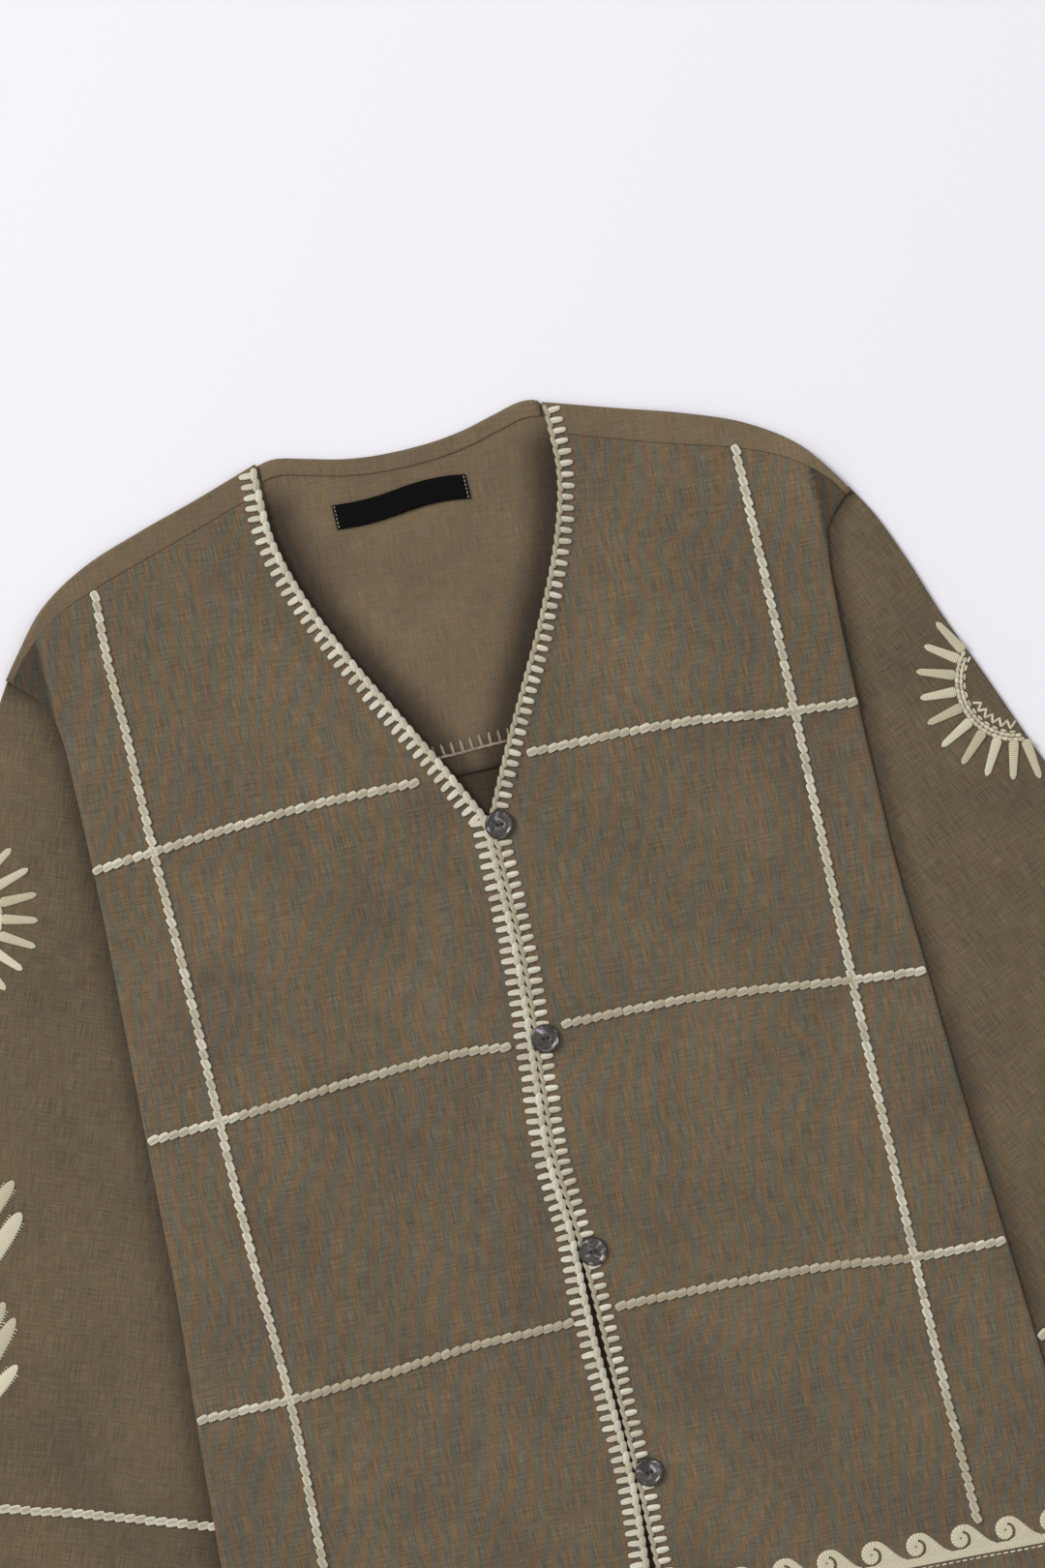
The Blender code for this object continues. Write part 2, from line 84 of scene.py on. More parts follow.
# %% [markdown]
# The cloth is the CAD's own shape, so the scene starts from the same pattern: where the side
# edges, neckline, opening, shoulders and sleeve folds run, as short tables of millimetres.
# A curve read through a few measured rows stays easy to correct against a photograph.
# %% The pattern of the shirt, as tables
SIDE_NAME = {-1: "left", 1: "right"}
CLOTH, GAP, AIR, SLOPE_AIR = 1.2, 0.3, 1.0, 0.6
LAYER = CLOTH + GAP
LAP, LAP_FROM, LAP_TO = LAYER + 0.5, 4.0, 108.0
HEM_Y, BACK_TOP_Y, YOKE_EDGE_Y, NECK_X = -537.0, 48.0, 30.0, 91.0
BEND_FROM = -150.0

Side = namedtuple("Side", "y left right")
SIDE_EDGE = (
    Side(-537, 274, 265), Side(-411, 267, 258), Side(-327, 262, 253), Side(-246, 256, 247.5),
    Side(-154, 252.5, 243), Side(-65, 249, 239), Side(17, 246, 239), Side(96, 245.5, 241),
    Side(112, 246.5, 242.5), Side(124, 249, 245), Side(131, 252, 248.5), Side(149, 270, 266),
)
Neck = namedtuple("Neck", "y half")
NECKLINE = (
    Neck(0, 0.2), Neck(36, 18), Neck(72, 37), Neck(111, 57.6), Neck(156, 78),
    Neck(190, 88.5), Neck(212, 91), Neck(230, 91),
)
Edge = namedtuple("Edge", "x y")
NECK_EDGE = (
    Edge(0, 234), Edge(20, 234.8), Edge(40, 237.6), Edge(60, 242.6), Edge(80, 246.8), Edge(91, 245),
)
Opening = namedtuple("Opening", "y line gap")
OPENING = (
    Opening(-537, -8, 6), Opening(-475, -7, 3.5), Opening(-416, -4.8, 0.8),
    Opening(-376, -5.4, 2), Opening(-325, -6.6, 3.4), Opening(-265, -6.6, 0.9),
    Opening(-216, -9.6, 0.4), Opening(-170, -6.6, 0.4), Opening(-95, -0.6, 0.4),
    Opening(0, 0, 0.4),
)
Shoulder = namedtuple("Shoulder", "fold_x fold_y seam_x seam_y")
SHOULDER = {
    -1: (Shoulder(91, 246.5, 91, 228.5), Shoulder(133, 233, 130, 216.5),
         Shoulder(172, 221.5, 166, 205.5), Shoulder(210, 208, 203, 194),
         Shoulder(240, 189.5, 233, 181.5), Shoulder(262, 164, 258, 161.5),
         Shoulder(272, 151, 268.2, 148.4)),
    1: (Shoulder(91, 243.5, 91, 224), Shoulder(135, 229.3, 130, 210.5),
        Shoulder(174, 217, 167, 198.5), Shoulder(210, 202.5, 202, 188),
        Shoulder(239, 182.5, 231, 175), Shoulder(258, 158, 254.2, 155.6),
        Shoulder(265, 146.5, 261.4, 144.2)),
}
SLEEVE_UNDER, SLEEVE_CROWN, EDGE_CLEAR = 3.4, 2.3, 4.0
Cuff = namedtuple("Cuff", "along out_x out_y left_extra")
OUTER_FOLD = (
    Cuff(0.0, 265.2, 147.5, 6.3), Cuff(0.031, 275.3, 130, 8), Cuff(0.098, 289.6, 95.5, 8),
    Cuff(0.167, 302.3, 59, 6), Cuff(0.228, 315.4, 27, 5), Cuff(0.347, 339.8, -35, 4),
    Cuff(0.505, 374, -118, 4), Cuff(0.695, 417, -218, 4), Cuff(0.898, 464, -325, 4),
    Cuff(1.0, 487.5, -379.5, 4),
)
INNER_TOP, INNER_CUFF, HIDDEN_END = (125.0, 20.0), (260.0, -450.0), (262.0, 143.0)
PLATEAU, LIFT_RUN, LEFT_START_RISE = 13.0, 46.0, 2.6

Crease = namedtuple("Crease", "x0 y0 x1 y1 width height")
FRONT_CREASES = (
    Crease(243, 172, 240, 96, 11, 1.3), Crease(-247, 175, -244, 96, 11, 1.3),
    Crease(14, -150, 62, -300, 16, 0.8), Crease(24, -300, 36, -430, 12, 1.0),
    Crease(48, -320, 58, -440, 13, -0.5), Crease(76, -300, 92, -500, 16, 0.9),
    Crease(-20, -20, -70, -180, 18, 0.7), Crease(-60, -330, -50, -520, 18, 0.8),
    Crease(120, 150, 150, 20, 24, 0.6), Crease(-130, 150, -150, -10, 24, 0.6),
    Crease(190, -60, 205, -260, 22, 0.7), Crease(-200, -120, -212, -330, 22, 0.8),
    Crease(150, -380, 160, -537, 20, 1.1), Crease(-140, -400, -150, -537, 20, 1.1),
    Crease(215, -420, 222, -537, 16, 0.9), Crease(-215, -430, -224, -537, 16, 1.0),
)
SLEEVE_CREASES = (
    Crease(272, 105, 300, -70, 12, 0.7), Crease(268, -30, 318, -230, 14, -0.6),
    Crease(330, -60, 372, -215, 13, 0.6), Crease(330, -230, 372, -372, 15, 0.8),
    Crease(392, -170, 430, -330, 14, -0.6), Crease(292, -300, 318, -425, 12, 0.6),
)
print("hem is", 2 * SIDE_EDGE[0].left, "mm wide, body", -HEM_Y + SHOULDER[-1][0].fold_y, "mm long")

# %% [markdown]
# The cloth and the yarn both follow these tables. One function reads them all, and draws a
# smooth curve through the rows. It works on whole numpy arrays at once, because the cloth has
# tens of thousands of points and Blender's Python is slow when it visits them one by one.
# %% Reading the tables on whole arrays


def smooth(t):
    """Ease from 0 to 1."""
    t = np.clip(t, 0.0, 1.0)
    return t * t * (3 - 2 * t)


def table(rows, key, value, at):
    """A smooth curve through a table's rows, read at each value of its key column."""
    xs = np.array([getattr(row, key) for row in rows], float)
    ys = np.array([getattr(row, value) for row in rows], float)
    slope = np.diff(ys) / np.diff(xs)
    inner = np.where(slope[1:] * slope[:-1] > 0, (slope[1:] + slope[:-1]) / 2, 0.0)
    tangent = np.concatenate([slope[:1], inner, slope[-1:]])
    at = np.clip(at, xs[0], xs[-1])
    i = np.clip(np.searchsorted(xs, at, side="right") - 1, 0, len(xs) - 2)
    step = xs[i + 1] - xs[i]
    t = (at - xs[i]) / step
    return (ys[i] * (1 + 2 * t) * (1 - t) ** 2 + tangent[i] * step * t * (1 - t) ** 2
            + ys[i + 1] * t * t * (3 - 2 * t) + tangent[i + 1] * step * t * t * (t - 1))


def segment_distance(x, y, a, b):
    """Distance in plan from points to the line from a to b, and how far along it they are."""
    ax, ay = b[0] - a[0], b[1] - a[1]
    t = np.clip(((x - a[0]) * ax + (y - a[1]) * ay) / (ax * ax + ay * ay), 0.0, 1.0)
    return np.hypot(x - a[0] - t * ax, y - a[1] - t * ay), t


CREASE_END = 0.35


def relief(creases, x, y):
    """Height that the soft creases add. They fade towards their ends."""
    total = 0.0
    for c in creases:
        away, t = segment_distance(x, y, (c.x0, c.y0), (c.x1, c.y1))
        fade = CREASE_END + (1 - CREASE_END) * np.sin(np.pi * t)
        total = total + c.height * np.exp(-(away / c.width) ** 2) * fade
    return total


def side_x(y, side):
    """Where the body is folded at its side, from the hem up to the armhole."""
    return side * table(SIDE_EDGE, "y", SIDE_NAME[side], y)


def front_inner_x(y, side):
    """Inner edge of a front: the opening below the V, the neckline above it."""
    opening = table(OPENING, "y", "line", y) + side * table(OPENING, "y", "gap", y) / 2
    return np.where(y <= 0, opening, side * table(NECKLINE, "y", "half", y))


def shoulder_line(side, u, line):
    """Points of the shoulder's fold or seam, at shares u of the way out along it."""
    rows = SHOULDER[side]
    steps = [math.hypot(b.fold_x - a.fold_x, b.fold_y - a.fold_y) for a, b in zip(rows, rows[1:])]
    Row = namedtuple("Row", "along x y")
    keyed = [Row(sum(steps[:k]), getattr(r, line + "_x"), getattr(r, line + "_y"))
             for k, r in enumerate(rows)]
    at = u * keyed[-1].along
    return side * table(keyed, "along", "x", at), table(keyed, "along", "y", at)


print("half neck at y 100:", round(float(table(NECKLINE, "y", "half", 100.0)), 1), "mm")

# %% [markdown]
# A laid shirt is never flat. The body climbs over the part of each sleeve that is folded in
# under it, the thread pulls small ripples into the linen, and the cut edges at the neck stand
# up a little. All of this is one height for each point of the plan, so that the yarn, which
# comes later, can ask the same functions how high the cloth is under it.
# %% Heights of the fronts and sleeves
NECK_RISE, NECK_RISE_RUN = 2.6, 11.0
PLACKET, PLACKET_STEP = 22.0, 0.35
ARMHOLE_X, ARMHOLE_DROP = {-1: 246.0, 1: 241.5}, 1.7
Ripple = namedtuple("Ripple", "long heading height shift")
RIPPLES = (
    Ripple(67, 14, 0.30, 0.4), Ripple(43, -9, 0.20, 1.9), Ripple(29, 22, 0.12, 3.1),
    Ripple(88, 96, 0.16, 0.8), Ripple(51, 71, 0.10, 2.2),
)


def lift(x, y):
    """How far the body is carried up by the sleeve that is folded in under it."""
    x = np.abs(x)
    fold = (INNER_CUFF[0] - INNER_TOP[0], INNER_CUFF[1] - INNER_TOP[1])
    end = (HIDDEN_END[0] - INNER_TOP[0], HIDDEN_END[1] - INNER_TOP[1])
    past_fold = (x - INNER_TOP[0]) * fold[1] - (y - INNER_TOP[1]) * fold[0] < 0
    past_end = (x - INNER_TOP[0]) * end[1] - (y - INNER_TOP[1]) * end[0] > 0
    away = np.minimum(segment_distance(x, y, INNER_TOP, INNER_CUFF)[0],
                      segment_distance(x, y, INNER_TOP, HIDDEN_END)[0])
    share = np.where(past_fold & past_end, 1.0, smooth(1 - (away - PLATEAU) / LIFT_RUN))
    return (SLEEVE_UNDER + GAP) * share


def ripple(x, y):
    """Shallow waves in the cloth, bent by each other so that none runs straight."""
    total, bend = 0.0, 9 * np.sin(y / 71 + x / 190)
    for r in RIPPLES:
        heading = math.radians(r.heading)
        across = (x + bend) * math.cos(heading) + y * math.sin(heading)
        total = total + r.height * np.sin(2 * np.pi * across / r.long + r.shift)
    return total


def armhole(x, y, side):
    """Where the front's side edge turns down into the sleeve's opening, from 0 to 1."""
    return smooth((np.abs(x) - ARMHOLE_X[side]) / 3) * smooth((y - 100) / 25) * smooth((180 - y) / 15)


def front_top(x, y, side):
    """Upper side of a front, over the back, the yoke's lap and the sleeve."""
    from_side = np.abs(side_x(y, side)) - np.abs(x)
    from_edge = np.abs(x - front_inner_x(y, side))
    low = lift(x, y)
    climb = low / (SLEEVE_UNDER + GAP)
    air = AIR * np.maximum(smooth(from_side / 20), smooth((y - 95) / 30))
    air = air + SLOPE_AIR * 4 * climb * (1 - climb)
    lap = LAP * np.minimum(smooth((y - LAP_FROM) / 20), smooth((LAP_TO - y) / 32))
    soft = smooth(from_side / 14) * (relief(FRONT_CREASES, x, y) + ripple(x, y) * smooth(from_edge / 25))
    neck = NECK_RISE * np.exp(-(from_edge / NECK_RISE_RUN) ** 2)
    neck = neck * smooth((y + 10) / 60) * smooth((235 - y) / 60)
    placket = PLACKET_STEP * smooth((PLACKET - from_edge) / 1.5) * smooth(-y / 30) * (side > 0)
    return low + lap + LAYER + air + CLOTH + soft + neck + placket - ARMHOLE_DROP * armhole(x, y, side)


def sleeve_fold(side, along):
    """Outer and inner fold of a sleeve, at shares of its length from the armhole."""
    left = side < 0
    out_x = table(OUTER_FOLD, "along", "out_x", along)
    out_x = out_x + left * table(OUTER_FOLD, "along", "left_extra", along)
    rise = left * LEFT_START_RISE * np.clip(1 - along / OUTER_FOLD[1].along, 0, None)
    outer = np.stack([side * out_x, table(OUTER_FOLD, "along", "out_y", along) + rise], -1)
    in_x = INNER_TOP[0] + (INNER_CUFF[0] - INNER_TOP[0]) * along
    inner = np.stack([side * in_x, INNER_TOP[1] + (INNER_CUFF[1] - INNER_TOP[1]) * along], -1)
    return outer, inner


FOLD_POINTS = {side: sleeve_fold(side, np.linspace(0, 1, 60))[0] for side in (-1, 1)}
OVER_FOLD = SLEEVE_UNDER / 2


def from_outer_fold(x, y, side):
    """Distance in plan to a sleeve's outer fold."""
    points = FOLD_POINTS[side]
    away = [segment_distance(x, y, a, b)[0] for a, b in zip(points, points[1:])]
    return np.min(away, axis=0)


def sleeve_top(x, y, side):
    """Upper side of a sleeve: flat where the body lies on it, and full where it is free."""
    out = from_outer_fold(x, y, side) - OVER_FOLD
    inn = segment_distance(np.abs(x), y, INNER_TOP, INNER_CUFF)[0] - OVER_FOLD
    clear = smooth((np.abs(x) - np.abs(side_x(y, side)) - EDGE_CLEAR) / 22)
    swell = SLEEVE_CROWN * smooth(out / 26) * smooth(inn / 26)
    wave = (relief(SLEEVE_CREASES, np.abs(x), y) + ripple(x, y)) * smooth(out / 20) * smooth(inn / 20)
    return SLEEVE_UNDER + clear * (swell + wave)


spots = np.array([50.0, 150.0, 220.0])
print("front heights", np.round(front_top(spots, -100 + 0 * spots, 1), 2), "mm")

# %% [markdown]
# Each cut piece becomes a thin wall: one grid of points for the side that shows, one for the
# side that lies against the next layer, and a strip that joins them at the edges. A Solidify
# modifier would do it too, but two grids keep the folded-in sleeves exactly as thick as the
# CAD has them, and an edge can be rolled over like a stitched hem.
# %% Building a wall of cloth from two grids


def mesh_object(name, points, faces, finish, uv=None, shade=None):
    """A mesh that rides with the shirt, from points in millimetres of the plan."""
    mesh = bpy.data.meshes.new(name)
    placed = (np.asarray(points, float) - (CENTRE[0], CENTRE[1], 0.0)) * MM
    mesh.from_pydata(placed.tolist(), [], faces.tolist())
    if uv is not None:
        layer = mesh.uv_layers.new(name="yarn")
        layer.data.foreach_set("uv", uv[faces.ravel()].ravel().astype(np.float32))
    if shade is not None:
        mesh.attributes.new("shade", "FLOAT", "POINT").data.foreach_set("value", shade.astype(np.float32))
    mesh.shade_smooth()
    mesh.materials.append(finish)
    obj = bpy.data.objects.new(name, mesh)
    bpy.context.scene.collection.objects.link(obj)
    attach(obj, "root")
    return obj


def grid_faces(rows, columns, closed=False):
    """Quads of a grid of points that is stored row by row."""
    i, j = np.meshgrid(np.arange(rows - 1), np.arange(columns - (not closed)), indexing="ij")
    a, b = i * columns + j, i * columns + (j + 1) % columns
    return np.stack([a, b, b + columns, a + columns], -1).reshape(-1, 4)


def shell(name, outer, inner, finish, closed=False, flip=False, shade=None, keep=None):
    """A wall between two grids of points, shaped (rows, columns, 3). keep picks its quads."""
    rows, columns = outer.shape[:2]
    count = rows * columns
    quads = grid_faces(rows, columns, closed)
    if keep is not None:
        quads = quads[keep(*np.divmod(quads[:, 0], columns))]
    edges = np.concatenate([quads[:, [k, (k + 1) % 4]] for k in range(4)])
    twins = np.isin(edges[:, 0] * count + edges[:, 1], edges[:, 1] * count + edges[:, 0])
    a, b = edges[~twins].T
    faces = np.concatenate([quads, quads[:, ::-1] + count, np.stack([b, a, a + count, b + count], -1)])
    if flip:
        faces = faces[:, ::-1]
    used, faces = np.unique(faces, return_inverse=True)
    faces = faces.reshape(-1, 4)
    points = np.concatenate([outer.reshape(-1, 3), inner.reshape(-1, 3)])[used]
    if shade is not None:
        shade = np.tile(shade.ravel(), 2)[used]
    obj = mesh_object(name, points, faces, finish, shade=shade)
    print(name, 2 * len(faces), "triangles")
    return obj


def clustered(count, length, edge=(0.0, 0.3, 0.8, 1.6, 2.8, 4.5)):
    """Shares from 0 to 1, close together at both ends, where the cloth rolls over."""
    near = np.array(edge) / length
    return np.concatenate([near, np.linspace(near[-1], 1 - near[-1], count)[1:-1], (1 - near)[::-1]])


def rolled(distance, radius, drop):
    """How far a rolled edge drops, at a distance from the edge."""
    t = np.clip(distance / radius, 0.0, 1.0)
    return drop * (1 - np.sqrt(1 - (1 - t) ** 2))


print("shares along a 250 mm edge:", np.round(clustered(4, 250.0), 3))

# %% [markdown]
# A colour picked on screen is an sRGB code, but light adds up in linear values, so one function
# converts every code. A second one adds a shader node, with its settings and its links in one
# call, which keeps each material short enough to read at a glance.
# %% Helpers for colours and shader nodes


def linear(code):
    """A colour picked on screen as sRGB hex, turned to the linear values that light uses."""
    parts = [int(code[i:i + 2], 16) / 255 for i in (1, 3, 5)]
    return tuple(c / 12.92 if c <= 0.04045 else ((c + 0.055) / 1.055) ** 2.4 for c in parts) + (1.0,)


def node(tree, kind, settings=None, **links):
    """Add a shader node, give it its settings, and fill or link its inputs by name."""
    made = tree.nodes.new("ShaderNode" + kind)
    for key, value in (settings or {}).items():
        setattr(made, key, value)
    for key, value in links.items():
        socket = made.inputs[int(key[1:])] if key[1:].isdigit() else made.inputs[key.replace("_", " ")]
        if isinstance(value, bpy.types.NodeSocket):
            tree.links.new(value, socket)
        else:
            socket.default_value = value
    return made


# The wave texture repeats every 0.314 of a unit at scale 1.
WAVE_UNIT = 0.314


def new_material(name):
    """A material with its node tree and its main shader."""
    made = bpy.data.materials.new(name)
    made.use_nodes = True
    return made, made.node_tree, made.node_tree.nodes["Principled BSDF"]


def ramp(tree, factor, stops):
    """A colour ramp through (position, colour) stops."""
    made = node(tree, "ValToRGB", i0=factor)
    bar = made.color_ramp
    for place, colour in stops[2:]:
        bar.elements.new(place)
    for element, (place, colour) in zip(bar.elements, sorted(stops)):
        element.position, element.color = place, colour
    return made.outputs["Color"]


print("linen brown in linear light:", [round(c, 3) for c in linear("#6E5F4B")])

# %% [markdown]
# Linen is spun from flax, whose fibres vary in thickness, so every thread has thicker spots
# called slubs, and no two neighbours take the dye alike. Real threads here are about 0.4 mm
# apart, too fine to show from above, so they are drawn twice as coarse. Wider, wavering
# streaks of warm brown and cool grey come from batches of yarn dyed apart: they are a sine
# wave across the cloth, bent by one noise, frayed by another and faded by a third. A matt
# surface with a faint sheen from the fibre ends gives the dry, soft look of washed linen.
# %% Linen, with its grain turned to the piece it is cut for
THREAD, SLUB, WARP_DEPTH, WEFT_DEPTH = 0.85, 16.0, 0.50, 0.42
DARK_THREAD, PALE_THREAD = (0.45, 0.45, 0.45, 1.0), (1.55, 1.55, 1.55, 1.0)
STREAK_PITCH, STREAK_BEND, STREAK_TURN, STREAK_SWING = 10.5, 6.0, 13.2, 0.9
FRAY, FRAY_WIDE, FRAY_LONG, THREAD_RELIEF = 5.0, 3.0, 26.0, 0.5
DARK_CLOUD, PALE_CLOUD, PAINTED_SHADE_TINT = (0.86, 0.87, 0.9, 1.0), (1.14, 1.12, 1.08, 1.0), (0.30, 0.30, 0.33, 1.0)
# Spots of these noises in a metre of cloth.
CLOUDS, SWAYS, FADES = 14.0, 11.0, 26.0


def linen(name, mid, warm, cool, streak, turn=0.0, hatch=1.0):
    """Plain-woven linen. streak and hatch are how strongly the streaks and the threads show."""
    made, tree, shader = new_material(name)
    at = node(tree, "TexCoord").outputs["Object"]

    def turned(angle):
        return node(tree, "Mapping", i0=at, i2=(0.0, 0.0, math.radians(angle))).outputs[0]

    def noise(vector, scale, detail, roughness=0.5):
        made = node(tree, "TexNoise", Vector=vector, Scale=scale, Detail=detail, Roughness=roughness)
        return made.outputs["Fac"]

    def stretched(wide, long, angle, seed):
        spot = node(tree, "VectorMath", {"operation": "MULTIPLY_ADD"}, i0=turned(angle),
                    i1=(1 / (wide * MM), 1 / (long * MM), 1.0), i2=(seed, seed, 0.0))
        return noise(spot.outputs[0], 1.0, 2.0, 0.6)

    def math_node(kind, a, b=0.0, c=0.0):
        return node(tree, "Math", {"operation": kind}, i0=a, i1=b, i2=c).outputs[0]

    def blend(kind, factor, a, b):
        return node(tree, "MixRGB", {"blend_type": kind}, i0=factor, i1=a, i2=b).outputs[0]

    warp, weft = stretched(THREAD, SLUB, turn, 3.0), stretched(SLUB, THREAD, turn, 7.0)
    across = node(tree, "SeparateXYZ", i0=turned(turn + STREAK_TURN)).outputs[0]
    sway = math_node("MULTIPLY", noise(at, SWAYS, 1.0), 2 * math.pi * STREAK_BEND)
    phase = math_node("MULTIPLY_ADD", across, 2 * math.pi / (STREAK_PITCH * MM), sway)
    fray = stretched(FRAY_WIDE, FRAY_LONG, turn + STREAK_TURN, 11.0)
    frayed = math_node("MULTIPLY_ADD", fray, FRAY, phase)
    swing = math_node("MULTIPLY", noise(at, FADES, 1.0), STREAK_SWING)
    streaks = math_node("MULTIPLY_ADD", math_node("SINE", frayed), swing, 0.5)

    tint = ramp(tree, streaks, [(0.12, linear(cool)), (0.88, linear(warm)), (0.5, linear(mid))])
    colour = blend("MIX", streak, linear(mid), tint)
    for threads, depth in ((warp, WARP_DEPTH), (weft, WEFT_DEPTH)):
        tone = ramp(tree, threads, [(0.3, DARK_THREAD), (0.7, PALE_THREAD)])
        colour = blend("MULTIPLY", depth * hatch, colour, tone)
    patchy = ramp(tree, noise(at, CLOUDS, 2.0), [(0.3, DARK_CLOUD), (0.7, PALE_CLOUD)])
    colour = blend("MULTIPLY", 1.0, colour, patchy)
    # The shade attribute multiplies painted shade into the linen: in the front armholes, on the sleeves
    # beside the body, over the lower back and near the neck edge inside the back.
    shade = node(tree, "Attribute", {"attribute_name": "shade"}).outputs["Fac"]
    tree.links.new(blend("MULTIPLY", shade, colour, PAINTED_SHADE_TINT), shader.inputs["Base Color"])

    bump = node(tree, "Bump", Height=math_node("ADD", warp, weft), Strength=0.7,
                Distance=THREAD_RELIEF * MM)
    tree.links.new(bump.outputs[0], shader.inputs["Normal"])
    shader.inputs["Roughness"].default_value = 0.88
    shader.inputs["Specular IOR Level"].default_value = 0.25
    shader.inputs["Sheen Weight"].default_value = 0.12
    shader.inputs["Sheen Roughness"].default_value = 0.5
    return made


GRAIN = math.degrees(math.atan2(OUTER_FOLD[-1].out_x - OUTER_FOLD[3].out_x,
                                OUTER_FOLD[3].out_y - OUTER_FOLD[-1].out_y))
LINEN = linen("front linen", "#665946", "#745A3E", "#565C52", streak=0.45)
LINEN_INSIDE = linen("inside linen", "#6E5F49", "#765F44", "#68604F", streak=0.35, hatch=0.6)
# The lower back's linen is a darker copy of the front's, as painted shade.
SHADED_BACK_LINEN = linen("lower back linen", "#5C4C38", "#5F4C34", "#524C40", streak=0.35, hatch=0.7)
LINEN_SLEEVE = {
    side: linen("sleeve linen " + SIDE_NAME[side], "#635642", "#6B563B", "#58584A", streak=0.2,
                turn=-side * GRAIN, hatch=0.9) for side in (-1, 1)
}
print("sleeve grain is turned", round(GRAIN, 1), "degrees")

# %% [markdown]
# The two fronts are cut as mirror images that bend up to meet the shoulder seam. Their outer
# side is drawn fine enough for the creases, and rolls over at the edges: tightly at the neck,
# opening and hem, where the cloth is folded under, and wider at the side, where the shirt
# folds round to its back.
# %% The two fronts
# A roll is the radius of a rounded edge and how far it drops.
NECK_ROLL, SIDE_ROLL = (0.9, 0.8), (3.2, 1.7)
FRONT_COLUMNS, FRONT_ROW, FRONT_WIDE, THIN_EDGE = 62, 4.2, 255.0, 0.1
ARMHOLE_SHADE, ARMHOLE_DEEP, ARMHOLE_RUN = 0.62, 0.7, 6.0


def front_plan(side, u, heights):
    """Plan places of a front's rows and columns. The rows bend up to follow the seam."""
    seam_x, seam_y = shoulder_line(side, u, "seam")
    top_in, top_out = seam_y[0], seam_y[-1]
    y_in = heights[:, None]
    climb = np.clip((y_in - BEND_FROM) / (top_in - BEND_FROM), 0.0, 1.0)
    y_out = y_in - (top_in - top_out) * climb ** 1.5
    x_in, x_out = front_inner_x(y_in, side), side_x(y_out, side)
    x_in[-1], x_out[-1] = seam_x[0], seam_x[-1]
    bend_x = seam_x - (seam_x[0] * (1 - u) + seam_x[-1] * u)
    bend_y = seam_y - (top_in * (1 - u) + top_out * u)
    x = x_in * (1 - u) + x_out * u + bend_x * climb ** 3
    y = y_in * (1 - u) + y_out * u + bend_y * climb ** 2
    return x, y, x_in + 0 * x, y_in


def make_front(side):
    """One front, a wall of cloth that is rolled over at all its edges."""
    top_in = SHOULDER[side][0].seam_y
    count = int((top_in - HEM_Y) / FRONT_ROW)
    heights = HEM_Y + (top_in - HEM_Y) * clustered(count, top_in - HEM_Y)
    u = clustered(FRONT_COLUMNS, FRONT_WIDE)
    x, y, x_in, y_in = front_plan(side, u, heights)
    z = front_top(x, y, side)
    from_side = np.abs(side_x(y, side)) - np.abs(x)
    from_edge = np.abs(x - x_in)
    from_seam = (top_in - y_in) + 0 * x
    drop = rolled(from_edge, *NECK_ROLL) + rolled(from_side, *SIDE_ROLL)
    drop = drop + rolled(y - HEM_Y, *NECK_ROLL) + rolled(from_seam, *NECK_ROLL)
    drop = np.minimum(drop, SIDE_ROLL[1])
    outer = np.stack([x, y, z - drop], -1)
    inner = np.stack([x, y, np.minimum(z - CLOTH, z - drop - THIN_EDGE)], -1)
    # Painted shade in the armhole's hollow past the fold, deepest just beside the fold line.
    deep = 1 + ARMHOLE_DEEP * np.exp(-(np.abs(x) - ARMHOLE_X[side]) / ARMHOLE_RUN)
    shade = ARMHOLE_SHADE * deep * armhole(x, y, side)
    name = "front_" + SIDE_NAME[side]
    front = shell(name + "_cloth", outer, inner, LINEN, flip=side < 0, shade=shade)
    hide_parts(name)
    return front


FRONTS = {side: make_front(side) for side in (-1, 1)}
print("fronts", [front.name for front in FRONTS.values()])

# %% [markdown]
# A wide sleeve is a tube pressed flat. Its underside lies on the floor, its folds are round,
# and its top swells where nothing lies on it. The inner part is folded in under the body, as
# when a shirt with wide sleeves is laid out and each sleeve is swung down. A ring of points is
# worked out for each step along it, so the tube never opens. Where it starts at the outer
# fold it is tucked under the yoke.
# %% The two sleeves
SLEEVE_ROWS, SLEEVE_TOP, SLEEVE_BOTTOM, SLEEVE_TURN = 150, 46, 12, 6
SLEEVE_LONG, SLEEVE_WIDE, CUFF_ROLL = 560.0, 200.0, (0.5, 0.2)
BODY_SHADE, BODY_SHADE_RUN, START_TUCK, TUCK_ROWS, TUCK_AIM = 0.65, 17.0, 2.0, 4, 8


def sleeve_ring(side, along, inset):
    """Rings of a sleeve's outer side, or of its inner side when inset is the wall."""
    outer, inner = (p[:, None, :] for p in sleeve_fold(side, along))
    across = outer - inner
    wide = np.linalg.norm(across, axis=-1, keepdims=True)
    across = across / wide
    radius, reach = OVER_FOLD - inset, wide - 2 * OVER_FOLD
    flat = np.linspace(0, 1, SLEEVE_BOTTOM)[None, :, None]
    turn = (np.pi * np.arange(1, SLEEVE_TURN) / SLEEVE_TURN)[None, :, None]
    over = clustered(SLEEVE_TOP, SLEEVE_WIDE)[None, ::-1, None]
    plan = [inner + across * (OVER_FOLD + reach * flat),
            outer - across * (OVER_FOLD - radius * np.sin(turn)),
            inner + across * (OVER_FOLD + reach * over),
            inner + across * (OVER_FOLD - radius * np.sin(turn))]
    one = 0 * along[:, None, None]
    top = sleeve_top(plan[2][..., 0], plan[2][..., 1], side)[..., None] - inset
    height = [one + 0 * flat + inset, one + OVER_FOLD - radius * np.cos(turn), top,
              one + OVER_FOLD + radius * np.cos(turn)]
    return np.concatenate([np.concatenate(plan, 1), np.concatenate(height, 1)], -1)


